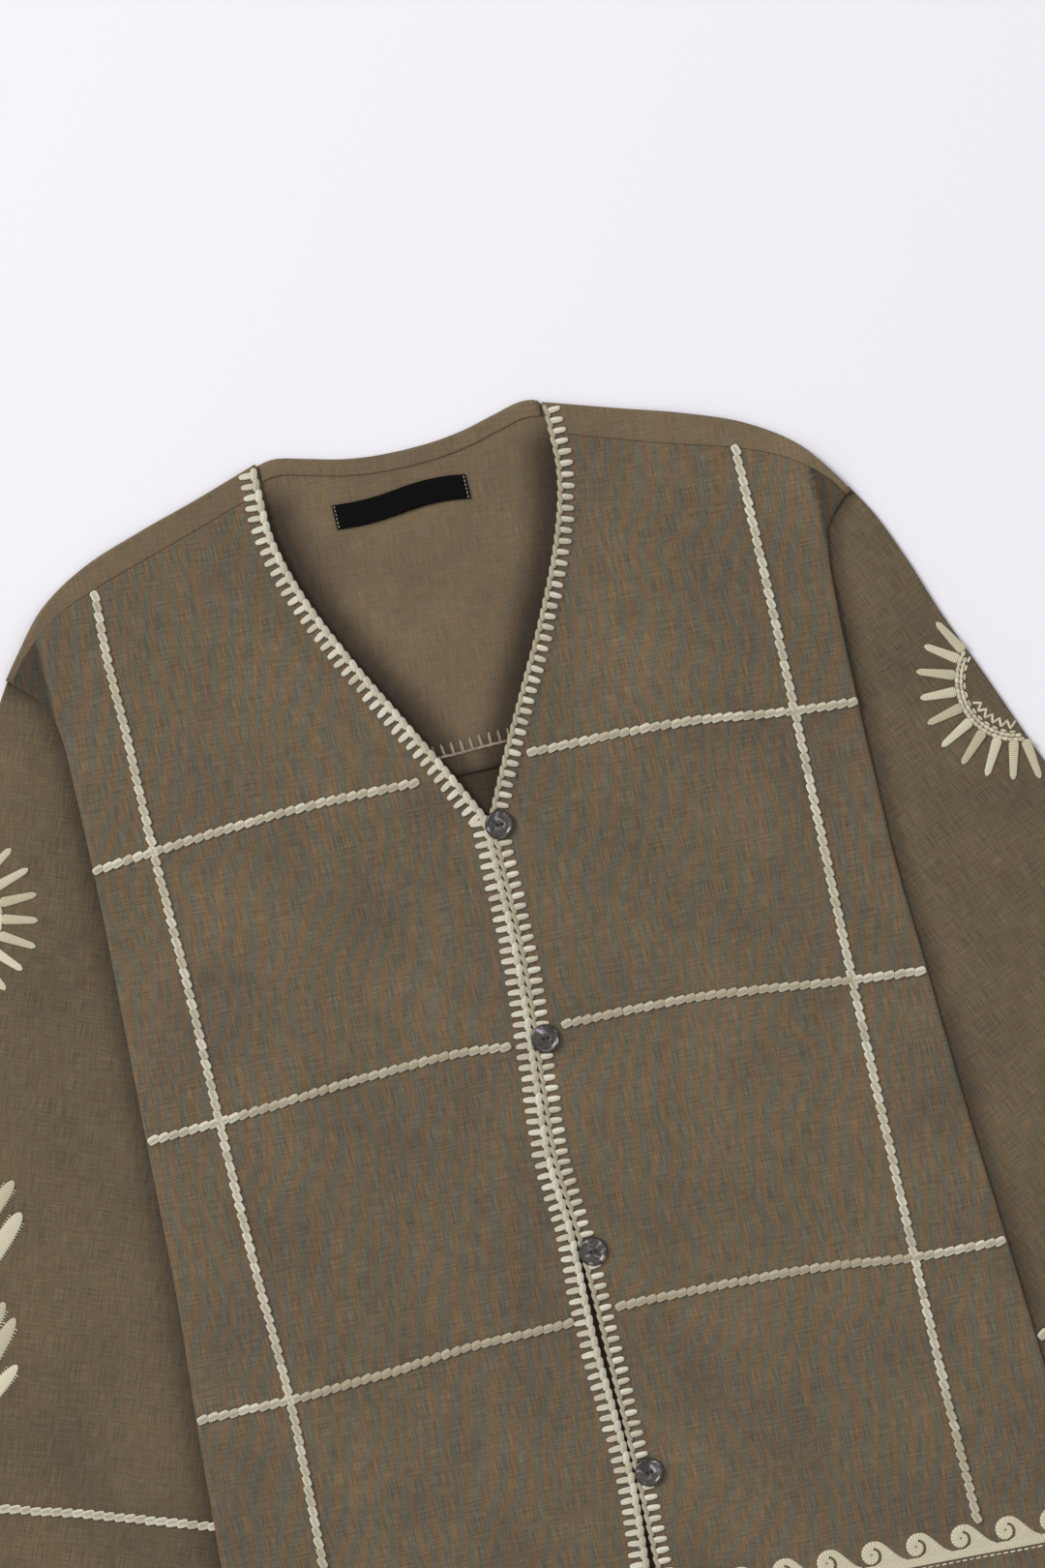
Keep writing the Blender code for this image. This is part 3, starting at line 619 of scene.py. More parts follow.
def make_sleeve(side):
    """One sleeve, a pressed tube that is open at both ends."""
    along = clustered(SLEEVE_ROWS, SLEEVE_LONG)
    outer = sleeve_ring(side, along, 0.0)
    inner = sleeve_ring(side, along, CLOTH)
    for end, step in ((0, 1), (-1, -1)):
        for k, drop in enumerate(CUFF_ROLL):
            row = end + k * step
            outer[row, :, 2] += drop * np.sign(inner[row, :, 2] - outer[row, :, 2])
    tuck = OVER_FOLD + START_TUCK
    for ring in (outer, inner):
        near_fold = smooth(1 - from_outer_fold(ring[0, :, 0], ring[0, :, 1], side) / tuck)[:, None]
        back = ring[0, :, :2] - ring[TUCK_AIM, :, :2]
        back = START_TUCK * near_fold * back / np.linalg.norm(back, axis=-1, keepdims=True)
        ring[:TUCK_ROWS, :, :2] += back
    x, y = outer[..., 0], outer[..., 1]
    # Painted shadow on the sleeve beside the body's edge, fading outwards.
    shade = BODY_SHADE * smooth(1 - (np.abs(x) - np.abs(side_x(y, side))) / BODY_SHADE_RUN)
    name = "sleeve_" + SIDE_NAME[side]
    sleeve = shell(name + "_cloth", outer, inner, LINEN_SLEEVE[side], closed=True, flip=side < 0,
                   shade=shade)
    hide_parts(name)
    return sleeve


SLEEVES = {side: make_sleeve(side) for side in (-1, 1)}
print("sleeves", [sleeve.name for sleeve in SLEEVES.values()])

# %% [markdown]
# The back is cut in two. The lower panel lies on the floor and climbs onto the folded-in
# sleeves. The yoke is the upper back: past the neck it turns over the shoulder in a round
# fold and comes forward as a narrow strip, so it is drawn as one sheet that runs flat, goes
# round half a circle, and ends at the front's shoulder seam.
# %% The lower back and the yoke
BACK_COLUMNS, YOKE_SIDE, YOKE_NECK, YOKE_FLAT, YOKE_TURN, YOKE_STRIP = 40, 34, 40, 56, 6, 7
SHADE_RUN, STRIP_WIDE, STRIP_ROLL, BACK_SHADE = 30.0, 20.0, (1.6, 0.7), 0.8


def neck_top(share):
    """The back neck edge: highest where it meets the shoulder folds."""
    return table(NECK_EDGE, "x", "y", np.abs(share) * NECK_X)


def neck_shade(x, y):
    """Painted shade on the inside of the back, deeper the nearer the standing neck edge is."""
    under = table(NECKLINE, "y", "half", y) - np.abs(x)
    return np.clip(1.2 * smooth(1 - under / SHADE_RUN) * smooth((240 - y) / 30), 0.0, 1.0)


heights = np.concatenate([np.linspace(HEM_Y, 0, 50), np.linspace(0, BACK_TOP_Y, 12)[1:]])
side_share = np.concatenate([-np.linspace(1, 0, BACK_COLUMNS)[:-1], np.linspace(0, 1, BACK_COLUMNS)])
y = heights[:, None] + 0 * side_share
middle = table(OPENING, "y", "line", y)
left, right = side_x(y, -1) + 0.6, side_x(y, 1) - 0.6
x = np.where(side_share < 0, middle + (middle - left) * side_share, middle + (right - middle) * side_share)
z = lift(x, y)
# Painted shade over the whole lower back, on top of its darker linen.
back_panel = shell("back_panel_cloth", np.stack([x, y, z], -1), np.stack([x, y, z + CLOTH], -1),
                   SHADED_BACK_LINEN, flip=True, shade=BACK_SHADE + 0 * z)
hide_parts("back_panel")


def yoke_tops():
    """Fold, seam and outward direction of each column of the yoke, left to right."""
    u = np.linspace(0, 1, YOKE_SIDE + 1)
    left = [np.stack(shoulder_line(-1, u[::-1], line), -1) for line in ("fold", "seam")]
    right = [np.stack(shoulder_line(1, u, line), -1) for line in ("fold", "seam")]
    share = np.linspace(-1, 1, YOKE_NECK + 1)[1:-1]
    neck = np.stack([share * NECK_X, neck_top(share)], -1)
    folds, seams = (np.concatenate([a, neck, b]) for a, b in zip(left, right))
    out = folds - seams
    out = out / np.maximum(np.linalg.norm(out, axis=-1, keepdims=True), 1e-6)
    return folds, seams, out, np.r_[np.ones(YOKE_SIDE + 1), 0 * share, np.ones(YOKE_SIDE + 1)]


folds, seams, outward, turning = yoke_tops()
hand = np.sign(folds[:, 0])
low = lift(folds[:, 0], folds[:, 1])
high = np.where(hand < 0, front_top(folds[:, 0], folds[:, 1], -1), front_top(folds[:, 0], folds[:, 1], 1))
radius = (high - low) / 2 * turning
tops = folds - outward * radius[:, None]


def yoke_lap(y):
    """How high the yoke's free edge lies over the lower back."""
    return LAP * smooth((78 - y) / 26)


def yoke_flat(inset):
    """The flat of the yoke, from its free edge up to where it turns or ends at the neck."""
    v = np.linspace(0, 1, YOKE_FLAT)[:, None]
    u = np.linspace(0, 1, len(folds))
    y_left = YOKE_EDGE_Y + (tops[0, 1] - YOKE_EDGE_Y) * v
    y_right = YOKE_EDGE_Y + (tops[-1, 1] - YOKE_EDGE_Y) * v
    foot = [side_x(np.float64(YOKE_EDGE_Y), side) - side for side in (-1, 1)]
    bulge_left = side_x(y_left, -1) + 1 - (foot[0] * (1 - v) + tops[0, 0] * v)
    bulge_right = side_x(y_right, 1) - 1 - (foot[1] * (1 - v) + tops[-1, 0] * v)
    x = (foot[0] * (1 - u) + foot[1] * u) * (1 - v) + tops[:, 0] * v
    x = x + bulge_left * np.clip(1 - 4 * u, 0, 1) + bulge_right * np.clip(4 * u - 3, 0, 1)
    y = YOKE_EDGE_Y * (1 - v) + tops[:, 1] * v
    wave = 0.5 * ripple(x * 1.3, y) * smooth((y - 50) / 30) * smooth((200 - y) / 30)
    wave = np.clip(wave * smooth((90 - np.abs(x)) / 30), 0, None)
    return np.stack([x, y, lift(x, y) + yoke_lap(y) + wave + inset], -1)


def yoke_over(inset):
    """The round fold over the shoulder and the strip in front, or nothing past the neck."""
    angle = (np.pi * np.arange(1, YOKE_TURN + 1) / YOKE_TURN)[:, None]
    reach = tops + outward * (radius - inset * turning)[:, None] * np.sin(angle)[..., None]
    height = low + radius - (radius - inset) * np.cos(angle)
    turn = np.concatenate([reach, height[..., None]], -1)
    v = clustered(YOKE_STRIP, STRIP_WIDE, edge=(0.0, 0.8, 1.8))[1:, None, None]
    strip = tops + (seams - tops) * v
    both = [front_top(strip[..., 0], strip[..., 1], side) for side in (-1, 1)]
    height = np.where(hand < 0, both[0], both[1]) - inset
    height = height - rolled((1 - v[..., 0]) * STRIP_WIDE, *STRIP_ROLL)
    return turn, np.concatenate([strip, height[..., None]], -1)


def yoke_side_of_cloth(inset):
    """One side of the yoke's cloth, from its free edge to the front seam."""
    flat, (turn, strip) = yoke_flat(inset), yoke_over(inset)
    return np.concatenate([flat, turn, strip])


def yoke_keep(row, column):
    """The rows past the flat exist only over the shoulders."""
    return (row < YOKE_FLAT - 1) | (column < YOKE_SIDE) | (column >= YOKE_SIDE + YOKE_NECK)


outer = yoke_side_of_cloth(0.0)
back_yoke = shell("back_yoke_cloth", outer, yoke_side_of_cloth(CLOTH), LINEN_INSIDE, flip=True,
                  shade=neck_shade(outer[..., 0], outer[..., 1]) * (outer[..., 2] < 2 * CLOTH),
                  keep=yoke_keep)
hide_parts("back_yoke")
print("yoke columns", len(folds), "fold radius up to", round(float(radius.max()), 2), "mm")

# %% [markdown]
# Inside the back neck a narrow facing hides the seam, and a woven tag is sewn over it by its
# two short ends. A tag like this is damask-woven in fine polyester, denser and smoother than
# the linen, so it reads as a flat, near-black strip. It is left bare.
# %% The neck band and the tag
BAND_WIDE, BAND_REACH, BAND_DOWN, BAND_ROLL = 10.0, 89.0, 0.6, (1.0, 0.6)
LABEL_SIZE, LABEL_PLACE, LABEL_ARCH, LABEL_BEND = (85.0, 15.5), (-8.0, 203.0), 0.8, 1.6
LABEL_LIFT, LABEL_WAVE, LABEL_UP, LABEL_DOWN, TAG_RIB = 0.45, 0.5, 0.45, 0.2, 1.0

share = np.linspace(-1, 1, 60)
v = clustered(4, BAND_WIDE, edge=(0.0, 0.4, 1.0))[:, None]
x = share * BAND_REACH + 0 * v
y = neck_top(share * BAND_REACH / NECK_X) - BAND_DOWN - BAND_WIDE * (1 - v)
z = LAYER + 1.0 - rolled(BAND_WIDE * np.minimum(v, 1 - v), *BAND_ROLL) + 0 * share
band = shell("neck_band_cloth", np.stack([x, y, z], -1), np.stack([x, y, LAYER + 0 * z], -1),
             LINEN_INSIDE, shade=0.3 * neck_shade(x, y))
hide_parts("neck_band")

TAG, tree, shader = new_material("black damask-woven tag")
at = node(tree, "TexCoord").outputs["Object"]
weave = node(tree, "TexWave", {"bands_direction": "Y"}, Vector=at, Scale=WAVE_UNIT / (TAG_RIB * MM),
             Distortion=1.0)
shader.inputs["Base Color"].default_value = linear("#070708")
shader.inputs["Roughness"].default_value = 0.75
shader.inputs["Specular IOR Level"].default_value = 0.08
bump = node(tree, "Bump", Height=weave.outputs["Fac"], Strength=0.25, Distance=0.2 * MM)
tree.links.new(bump.outputs[0], shader.inputs["Normal"])

wide, high = LABEL_SIZE
u, v = np.linspace(-1, 1, 48), np.linspace(-1, 1, 10)[:, None]
x = LABEL_PLACE[0] + wide / 2 * u + 0 * v
y = LABEL_PLACE[1] + high / 2 * v + LABEL_ARCH * (1 - u ** 2) + LABEL_BEND * np.sin(np.pi * u)
z = LAYER + LABEL_LIFT + LABEL_WAVE * (0.6 + np.sin(u * 5 + 0.8) * 0.4) * (1 - u ** 4) + 0 * v
label = shell("label_cloth", np.stack([x, y, z + LABEL_UP], -1), np.stack([x, y, z - LABEL_DOWN], -1), TAG)
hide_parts("label")
print("tag", wide, "by", high, "mm")

# %% [markdown]
# The buttons are cut from a dark shell and turned on a small lathe, so each has a raised rim,
# a dished middle and two holes. The polished layers of shell send back light in pale pink
# and lilac patches, which change from button to button.
# %% The buttons
BUTTON_R, BUTTON_THICK, BUTTON_DISH, BUTTON_SEAT, BUTTON_SIDES = 9.0, 2.6, 0.7, 0.3, 64
HOLE_R, HOLE_SPACING, HOLE_SIDES, RIM_FROM, RIM_SHADE = 0.9, 3.0, 16, 8.0, 0.85
Button = namedtuple("Button", "x y")
BUTTONS = (Button(5.5, -5.6), Button(3.1, -141), Button(1.7, -276), Button(4.4, -417))
Turned = namedtuple("Turned", "radius height")
DISH = BUTTON_THICK - BUTTON_DISH
BUTTON_PROFILE = (
    Turned(5.4, DISH), Turned(6.3, DISH + 0.15), Turned(6.9, BUTTON_THICK),
    Turned(7.6, BUTTON_THICK + 0.05), Turned(8.3, BUTTON_THICK - 0.05),
    Turned(8.8, BUTTON_THICK - 0.4), Turned(9.0, BUTTON_THICK - 0.9),
    Turned(8.7, BUTTON_THICK - 1.5), Turned(7.6, 0.1), Turned(6.8, 0.0),
)

# Patches of colour in a metre of shell, so each is about 8 mm wide.
SHELL_PATCHES = 130.0
SHELL, tree, shader = new_material("polished dark shell")
at = node(tree, "TexCoord").outputs["Object"]
layers = node(tree, "TexNoise", Vector=at, Scale=SHELL_PATCHES, Detail=2.0, Distortion=1.6).outputs["Fac"]
tint = ramp(tree, layers, [(0.38, linear("#2B2724")), (0.74, linear("#BDB0BC")),
                           (0.58, linear("#4B453D"))])
# Painted shade: the shade attribute darkens the outer rim's slope towards near black.
rim = node(tree, "Attribute", {"attribute_name": "shade"}).outputs["Fac"]
tint = node(tree, "MixRGB", {"blend_type": "MIX"}, i0=rim, i1=tint, i2=linear("#191613")).outputs[0]
tree.links.new(tint, shader.inputs["Base Color"])
shader.inputs["Roughness"].default_value = 0.25
shader.inputs["Coat Weight"].default_value = 0.3
shader.inputs["Coat Roughness"].default_value = 0.08


def button_base(place):
    """Height of a button's underside, just clear of the highest cloth under it."""
    dx, dy = np.meshgrid((-BUTTON_R, 0.1, BUTTON_R), (-BUTTON_R, 0.0, BUTTON_R))
    x, y = place.x + dx, place.y + dy
    return float(np.where(x > 0, front_top(x, y, 1), front_top(x, y, -1)).max()) + BUTTON_SEAT


def drill(bm, place, base):
    """Close the upper and lower side round the two holes, and line the holes with walls."""
    turn = np.linspace(0, 2 * np.pi, HOLE_SIDES, endpoint=False)
    levels = []
    for height in (DISH, 0.0):
        loops = [[bm.verts.new(world(place.x + hand * HOLE_SPACING / 2 + HOLE_R * math.cos(t),
                                     place.y + HOLE_R * math.sin(t), base + height)) for t in turn]
                 for hand in (-1, 1)]
        edges = [bm.edges.new((a, b)) for ring in loops for a, b in zip(ring, ring[1:] + ring[:1])]
        edges += [e for e in bm.edges
                  if e.is_boundary and abs(e.verts[0].co.z - (base + height) * MM) < 1e-5]
        bmesh.ops.triangle_fill(bm, use_beauty=True, use_dissolve=False, edges=edges)
        levels.append(loops)
    for top, bottom in zip(*levels):
        for k in range(HOLE_SIDES):
            bm.faces.new((top[k - 1], top[k], bottom[k], bottom[k - 1]))


def make_button(number, place):
    """Rings turned round the middle, with the two holes left open through the dish."""
    angle = np.linspace(0, 2 * np.pi, BUTTON_SIDES, endpoint=False)
    radius, height = (np.array(column)[:, None] for column in zip(*BUTTON_PROFILE))
    rings = np.stack([radius * np.cos(angle), radius * np.sin(angle), height + 0 * angle], -1)
    base = button_base(place)
    # Painted shade on the outer slope of the rim.
    dark = RIM_SHADE * np.repeat(radius[:, 0] > RIM_FROM, BUTTON_SIDES)
    points = rings.reshape(-1, 3) + (place.x, place.y, base)
    faces = grid_faces(len(BUTTON_PROFILE), BUTTON_SIDES, closed=True)[:, ::-1]
    obj = mesh_object(f"button_{number}_shell", points, faces, SHELL, shade=dark)
    bm = bmesh.new()
    bm.from_mesh(obj.data)
    drill(bm, place, base)
    bmesh.ops.recalc_face_normals(bm, faces=bm.faces)
    bm.to_mesh(obj.data)
    bm.free()
    obj.data.set_sharp_from_angle(angle=math.radians(50))
    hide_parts(f"button_{number}")
    return base


BUTTON_BASE = [make_button(k, place) for k, place in enumerate(BUTTONS, start=1)]
print("buttons rest at", np.round(BUTTON_BASE, 2), "mm")

# %% [markdown]
# All the embroidery is thick cotton yarn, six soft strands twisted together. Each stitch is a
# small rounded bar that the needle pulls tight at both ends, so it bulges in the middle and
# sinks into the linen where it goes through. Hundreds of separate objects would be slow, so
# one function lays any number of stitches as arrays, and they end up in one joined mesh.
# %% Cotton yarn, and laying stitches
# A ply of the yarn is TWIST millimetres wide, and each millimetre has FIBRES tufts of fibre.
TWIST, FIBRES, PLY_RELIEF, PLY_SHARE, FIBRE_SHARE = 1.3, 1.6, 0.35, 0.35, 0.6
HOLLOW_SHADE, UNEVEN, STITCH_GRIP = 1.7, 0.3, 0.84
SATIN_TALL, FILL_SINK, FILL_TONE = 1.1, 0.25, 0.15


def cotton(name, light, dark, turn=38.0):
    """Twisted cotton. The stripes of its plies run at an angle to the stitch."""
    made, tree, shader = new_material(name)
    uv = node(tree, "UVMap", {"uv_map": "yarn"}).outputs[0]
    turned = node(tree, "Mapping", i0=uv, i2=(0.0, 0.0, math.radians(turn)))
    plies = node(tree, "TexWave", Vector=turned.outputs[0], Scale=WAVE_UNIT / TWIST, Distortion=1.2,
                 Detail_Scale=1.5).outputs["Fac"]
    fibres = node(tree, "TexNoise", Vector=uv, Scale=FIBRES, Detail=3.0).outputs["Fac"]
    # The shade attribute carries each stitch's tone, lowered by painted shade in grooves and on shaded
    # lines.
    tone = node(tree, "Attribute", {"attribute_name": "shade"}).outputs["Fac"]
    grey = node(tree, "Math", {"operation": "MULTIPLY_ADD"}, i0=fibres, i1=FIBRE_SHARE,
                i2=tone).outputs[0]
    both = node(tree, "Math", {"operation": "MULTIPLY_ADD"}, i0=plies, i1=PLY_SHARE,
                i2=grey).outputs[0]
    tint = ramp(tree, both, [(0.35, linear(dark)), (1.05, linear(light))])
    tree.links.new(tint, shader.inputs["Base Color"])
    bump = node(tree, "Bump", Height=plies, Strength=0.5, Distance=PLY_RELIEF * MM)
    tree.links.new(bump.outputs[0], shader.inputs["Normal"])
    shader.inputs["Roughness"].default_value = 0.72
    shader.inputs["Specular IOR Level"].default_value = 0.35
    shader.inputs["Sheen Weight"].default_value = 0.2
    return made


CREAM = cotton("cream twisted cotton", "#E9E5D2", "#A59C82")
SATIN = cotton("cream satin stitch", "#EAE4CB", "#A39B7D", turn=0.0)
DULL = cotton("brown-grey cotton", "#B0A28E", "#75695A")
DARK = cotton("dark sewing thread", "#100E0D", "#060505")
Piece = namedtuple("Piece", "points faces uv tone")
chance = np.random.default_rng(7)


def capsule(t, power=2.6):
    """How full a stitch is from its start to its end. More power gives it blunter ends."""
    return (1 - np.abs(2 * t - 1) ** power) ** (1 / power)


def plump(t):
    """A stitch that stays full for longer."""
    return capsule(t, 3.6)


def seed(t):
    """A bar that is a little fuller at its root than at its far end."""
    return plump(t) * (1 - 0.18 * smooth((t - 0.4) / 0.6))


def lay(x, y, heading, length, width, height, ground, lean=0.0, sink=0.12, shape=capsule, around=10,
        rings=8, tone=0.0, hollow=0.0):
    """Lay one rounded stitch at each place. ground(x, y) is the cloth's height there. lean lifts
    its far end, sink presses it into the cloth, and hollow parts it into two strands and darkens
    the groove between them with painted shade."""
    count = len(x)
    length, width, height = (np.broadcast_to(v, count).astype(float) for v in (length, width, height))
    t = (1 - np.cos(np.pi * np.arange(rings + 1) / rings)) / 2
    turn = 2 * np.pi * np.arange(around) / around
    round_t = np.maximum(shape(t), 0.02)
    local_x = np.repeat(t - 0.5, around)
    local_y = np.outer(round_t, np.sin(turn)).ravel() / 2
    along_dip, across_dip = smooth(4 * np.minimum(t, 1 - t)), np.clip(np.cos(turn), 0, 1) ** 8
    dip = hollow * np.outer(along_dip, across_dip).ravel()
    local_z = np.outer(round_t, np.cos(turn)).ravel() / 2 + 0.5 - dip
    cos, sin = np.cos(heading)[:, None], np.sin(heading)[:, None]
    along = local_x * length[:, None]
    across = local_y * width[:, None]
    px = x[:, None] + along * cos - across * sin
    py = y[:, None] + along * sin + across * cos
    line = along[:, ::around] * STITCH_GRIP
    under = ground(x[:, None] + line * cos, y[:, None] + line * sin)
    pz = np.repeat(under, around, axis=1) + (local_z - sink + lean * (local_x + 0.5)) * height[:, None]
    shift = chance.uniform(0, 9, (count, 2))
    around_uv = np.tile(turn, rings + 1) * width[:, None] / 2
    uv = np.stack([along + shift[:, :1], around_uv + shift[:, 1:]], -1)
    size = (rings + 1) * around
    faces = grid_faces(rings + 1, around, closed=True)
    faces = (faces[None] + size * np.arange(count)[:, None, None]).reshape(-1, 4)
    # Painted shade: the yarn is darker along the groove between the two strands.
    tone = np.repeat(tone + chance.uniform(0.0, UNEVEN, count), size) - HOLLOW_SHADE * np.tile(dip, count)
    return Piece(np.stack([px, py, pz], -1).reshape(-1, 3), faces[:, ::-1], uv.reshape(-1, 2), tone)


def steps_along(points):
    """How far along a line each of its points is."""
    return np.concatenate([[0], np.cumsum(np.hypot(*np.diff(points, axis=0).T))])


def ribbon(left, right, ground, power=6.0, across=10):
    """Yarn packed between two lines, rounded at its long edges. A high power makes it flatter."""
    v = (1 - np.cos(np.pi * np.arange(across + 1) / across)) / 2
    plan = left[:, None] * (1 - v[:, None]) + right[:, None] * v[:, None]
    swell = (1 - np.abs(2 * v - 1) ** power) ** (1 / power)
    z = ground(plan[..., 0], plan[..., 1]) - FILL_SINK + (SATIN_TALL + FILL_SINK) * swell
    middle = (left + right) / 2
    wide = np.hypot(*(right - left).T)
    uv = np.stack([steps_along(middle)[:, None] + 0 * v, wide[:, None] * v], -1).reshape(-1, 2)
    points = np.concatenate([plan, z[..., None]], -1).reshape(-1, 3)
    return Piece(points, grid_faces(len(left), across + 1), uv, np.full(len(points), FILL_TONE))


def stitched(name, pieces, finish):
    """Join many stitches as one mesh that rides with the shirt."""
    starts = np.cumsum([0] + [len(p.points) for p in pieces])
    faces = np.concatenate([p.faces + start for p, start in zip(pieces, starts)])
    points, uv, tone = (np.concatenate([getattr(p, what) for p in pieces])
                        for what in ("points", "uv", "tone"))
    made = mesh_object(name, points, faces, finish, uv=uv, shade=tone)
    print(name, 2 * len(faces), "triangles")
    return made


def spaced(points, pitch):
    """Evenly spaced places along a line: x, y and heading there."""
    steps = steps_along(points)
    count = max(1, round(steps[-1] / pitch))
    at = steps[-1] * (np.arange(count) + 0.5) / count
    x, y = (np.interp(at, steps, points[:, k]) for k in (0, 1))
    ahead = [np.interp(at + 2, steps, points[:, k]) - np.interp(at - 2, steps, points[:, k])
             for k in (0, 1)]
    return x, y, np.arctan2(ahead[1], ahead[0])


def curved(points):
    """A smooth line through a few plan points, with a point at every 2 mm."""
    points = np.asarray(points, float)
    keys = steps_along(points)
    Row = namedtuple("Row", "at x y")
    rows = [Row(k, *p) for k, p in zip(keys, points)]
    at = np.arange(0, keys[-1] + 2, 2.0)
    return np.stack([table(rows, "at", "x", at), table(rows, "at", "y", at)], -1)


def wobble(count, size):
    """Small differences that a hand makes."""
    return chance.normal(0, size, count)


print("yarn finishes", [m.name for m in (CREAM, SATIN, DULL, DARK)])

# %% [markdown]
# The grid over the body is worked in a wide chain: every loop starts inside the one before
# it and is pulled over a little to one side, so from above the line reads as a row of slanted
# ovals, each with a hollow between its two strands. Worked by hand, the lines wander by a
# millimetre or two, which the table keeps. They are given by the points where they bend.
# %% The chain-stitch grid on the fronts
CHAIN_PITCH, CHAIN_LONG, CHAIN_WIDE, CHAIN_TALL, CHAIN_SLANT = 6.5, 7.7, 5.3, 2.0, 16.0
CHAIN_HOLLOW = 0.22
# The chain's yarn is darker inside the middle of the body and towards the hem, and the tone column of the
# grid darkens some lines: all of it painted shade.
SHADED_LINES_WITHIN, BRIGHT, MIDDLE, SHADE_TOWARDS_HEM = 194.0, 0.1, 0.04, 0.25
Line = namedtuple("Line", "side tone points")
GRID = (
    Line(-1, 0, ((-205.8, 192.4), (-207.5, 148.4), (-206.4, 92.7), (-206.5, 26.2), (-205, -69.8),
                 (-205, -146), (-204.3, -232.7), (-201.9, -322.6), (-205.4, -429.7), (-206, -487))),
    Line(1, 0, ((201.1, 190.2), (201, 155.7), (200.6, 90.5), (199.5, 22.9), (196.3, -148.9),
                (194.6, -324.8), (194.5, -396.3), (195.4, -494))),
    Line(-1, 0, ((-246, 23.7), (-156.2, 30.4), (-100.2, 32.7), (-37, 31.5))),
    Line(-1, -0.15, ((-250.5, -146.7), (-204.7, -145), (-115.8, -139.3), (-57.5, -137.6),
                     (-19.4, -140.9))),
    Line(-1, -0.27, ((-260.3, -321.9), (-201.9, -322.6), (-139.7, -320.5), (-77.1, -316.1),
                     (-20.4, -316.4))),
    Line(1, 0, ((32.5, 33.7), (127.4, 30.6), (198, 21.5), (238.5, 18.1))),
    Line(1, -0.17, ((14.7, -134.7), (100.3, -137.5), (196.3, -148.9), (241.5, -153.6))),
    Line(1, -0.27, ((7.6, -312.5), (83.5, -314.8), (135.2, -317.7), (194.6, -324.8), (251.5, -327.4))),
)


def front_ground(side):
    """The height of a front that yarn lies on, also where it rolls down at its side."""
    def ground(x, y):
        past = np.clip(np.abs(x) - np.abs(side_x(y, side)) + SIDE_ROLL[0], 0, SIDE_ROLL[0])
        return front_top(x, y, side) - rolled(SIDE_ROLL[0] - past, *SIDE_ROLL)
    return ground


def chain(points, ground, tone=0.0):
    """A line of chain. Its yarn is darker inside the middle of the body, towards the hem and by
    the line's own tone, all of it painted shade.
    """
    x, y, heading = spaced(curved(points), CHAIN_PITCH)
    count = len(x)
    tone = np.where(np.abs(x) < SHADED_LINES_WITHIN, MIDDLE + tone, BRIGHT) - SHADE_TOWARDS_HEM * smooth((-390 - y) / 90)
    long = CHAIN_LONG + wobble(count, 0.3)
    x, y = x + wobble(count, 0.12), y + wobble(count, 0.12)
    heading = heading + math.radians(CHAIN_SLANT) + wobble(count, 0.035)
    return lay(x, y, heading, long, CHAIN_WIDE + wobble(count, 0.15), CHAIN_TALL, ground, lean=0.2,
               shape=plump, tone=tone, hollow=CHAIN_HOLLOW)


for side in (-1, 1):
    lines = [chain(row.points, front_ground(side), row.tone) for row in GRID if row.side == side]
    stitched("grid_" + SIDE_NAME[side], lines, CREAM)

# %% [markdown]
# Blanket stitch holds the folded edge: the yarn runs along the edge as a rope and, at every
# step, one straight leg is sewn in over the cloth. The legs are the fat, rounded bars that
# frame the neck and the opening. At the top the line runs on over the shoulder.
# %% Blanket stitch along the neck and the opening
LEG_PITCH, LEG_LONG, LEG_WIDE, LEG_TALL, LEG_TONE = 6.7, 8.6, 4.0, 2.1, 0.1
# The right front's rope is given a lower tone as painted shade.
ROPE_WIDE, ROPE_TALL, ROPE_SHADE_TONE = {-1: 4.8, 1: 3.4}, 2.0, {-1: 0.0, 1: -0.35}
OVERLAP, NECK_END_DOWN = 1.25, 3.0


def edge_line(side):
    """The edge that is stitched: opening, neckline, and the end of the shoulder strip."""
    seam_y, fold_y = SHOULDER[side][0].seam_y, SHOULDER[side][0].fold_y
    over = np.linspace(seam_y, fold_y - NECK_END_DOWN, 8)
    y = np.concatenate([np.arange(HEM_Y + 1, seam_y, 2.0), over])
    return np.stack([front_inner_x(y, side), y], -1)


def edge_stitches(side):
    """The rope along an edge, and the legs that run in from it over the cloth."""
    ground, rope = front_ground(side), ROPE_WIDE[side]
    x, y, heading = spaced(edge_line(side), LEG_PITCH)
    count = len(x)
    out = heading - side * np.pi / 2
    middle = rope / 2 - 0.15
    bars = lay(x + np.cos(out) * middle, y + np.sin(out) * middle, heading + side * 0.25,
               LEG_PITCH * OVERLAP, rope, ROPE_TALL, ground, lean=0.12, tone=ROPE_SHADE_TONE[side])
    reach = rope - 1.5 + LEG_LONG / 2 + wobble(count, 0.25)
    legs = lay(x + np.cos(out) * reach, y + np.sin(out) * reach, out + wobble(count, 0.05),
               LEG_LONG + wobble(count, 0.3), LEG_WIDE + wobble(count, 0.12), LEG_TALL, ground,
               shape=seed, tone=LEG_TONE)
    return [bars, legs]


for side in (-1, 1):
    stitched("edging_" + SIDE_NAME[side], edge_stitches(side), CREAM)

# %% [markdown]
# The yoke's free edge inside the back is finished by the same stitch in a thin, brownish yarn.
# Little of it shows through the neck, so it is one straight row with a slight wave.
# %% Blanket stitch inside the back
INNER_BAR_Y, INNER_LEG, INNER_WIDE, INNER_TALL, INNER_PITCH, INNER_HALF = 43.5, 8.0, 2.0, 1.2, 6.0, 60


def yoke_ground(x, y):
    """The height of the yoke that yarn lies on."""
    return lift(x, y) + yoke_lap(y) + CLOTH


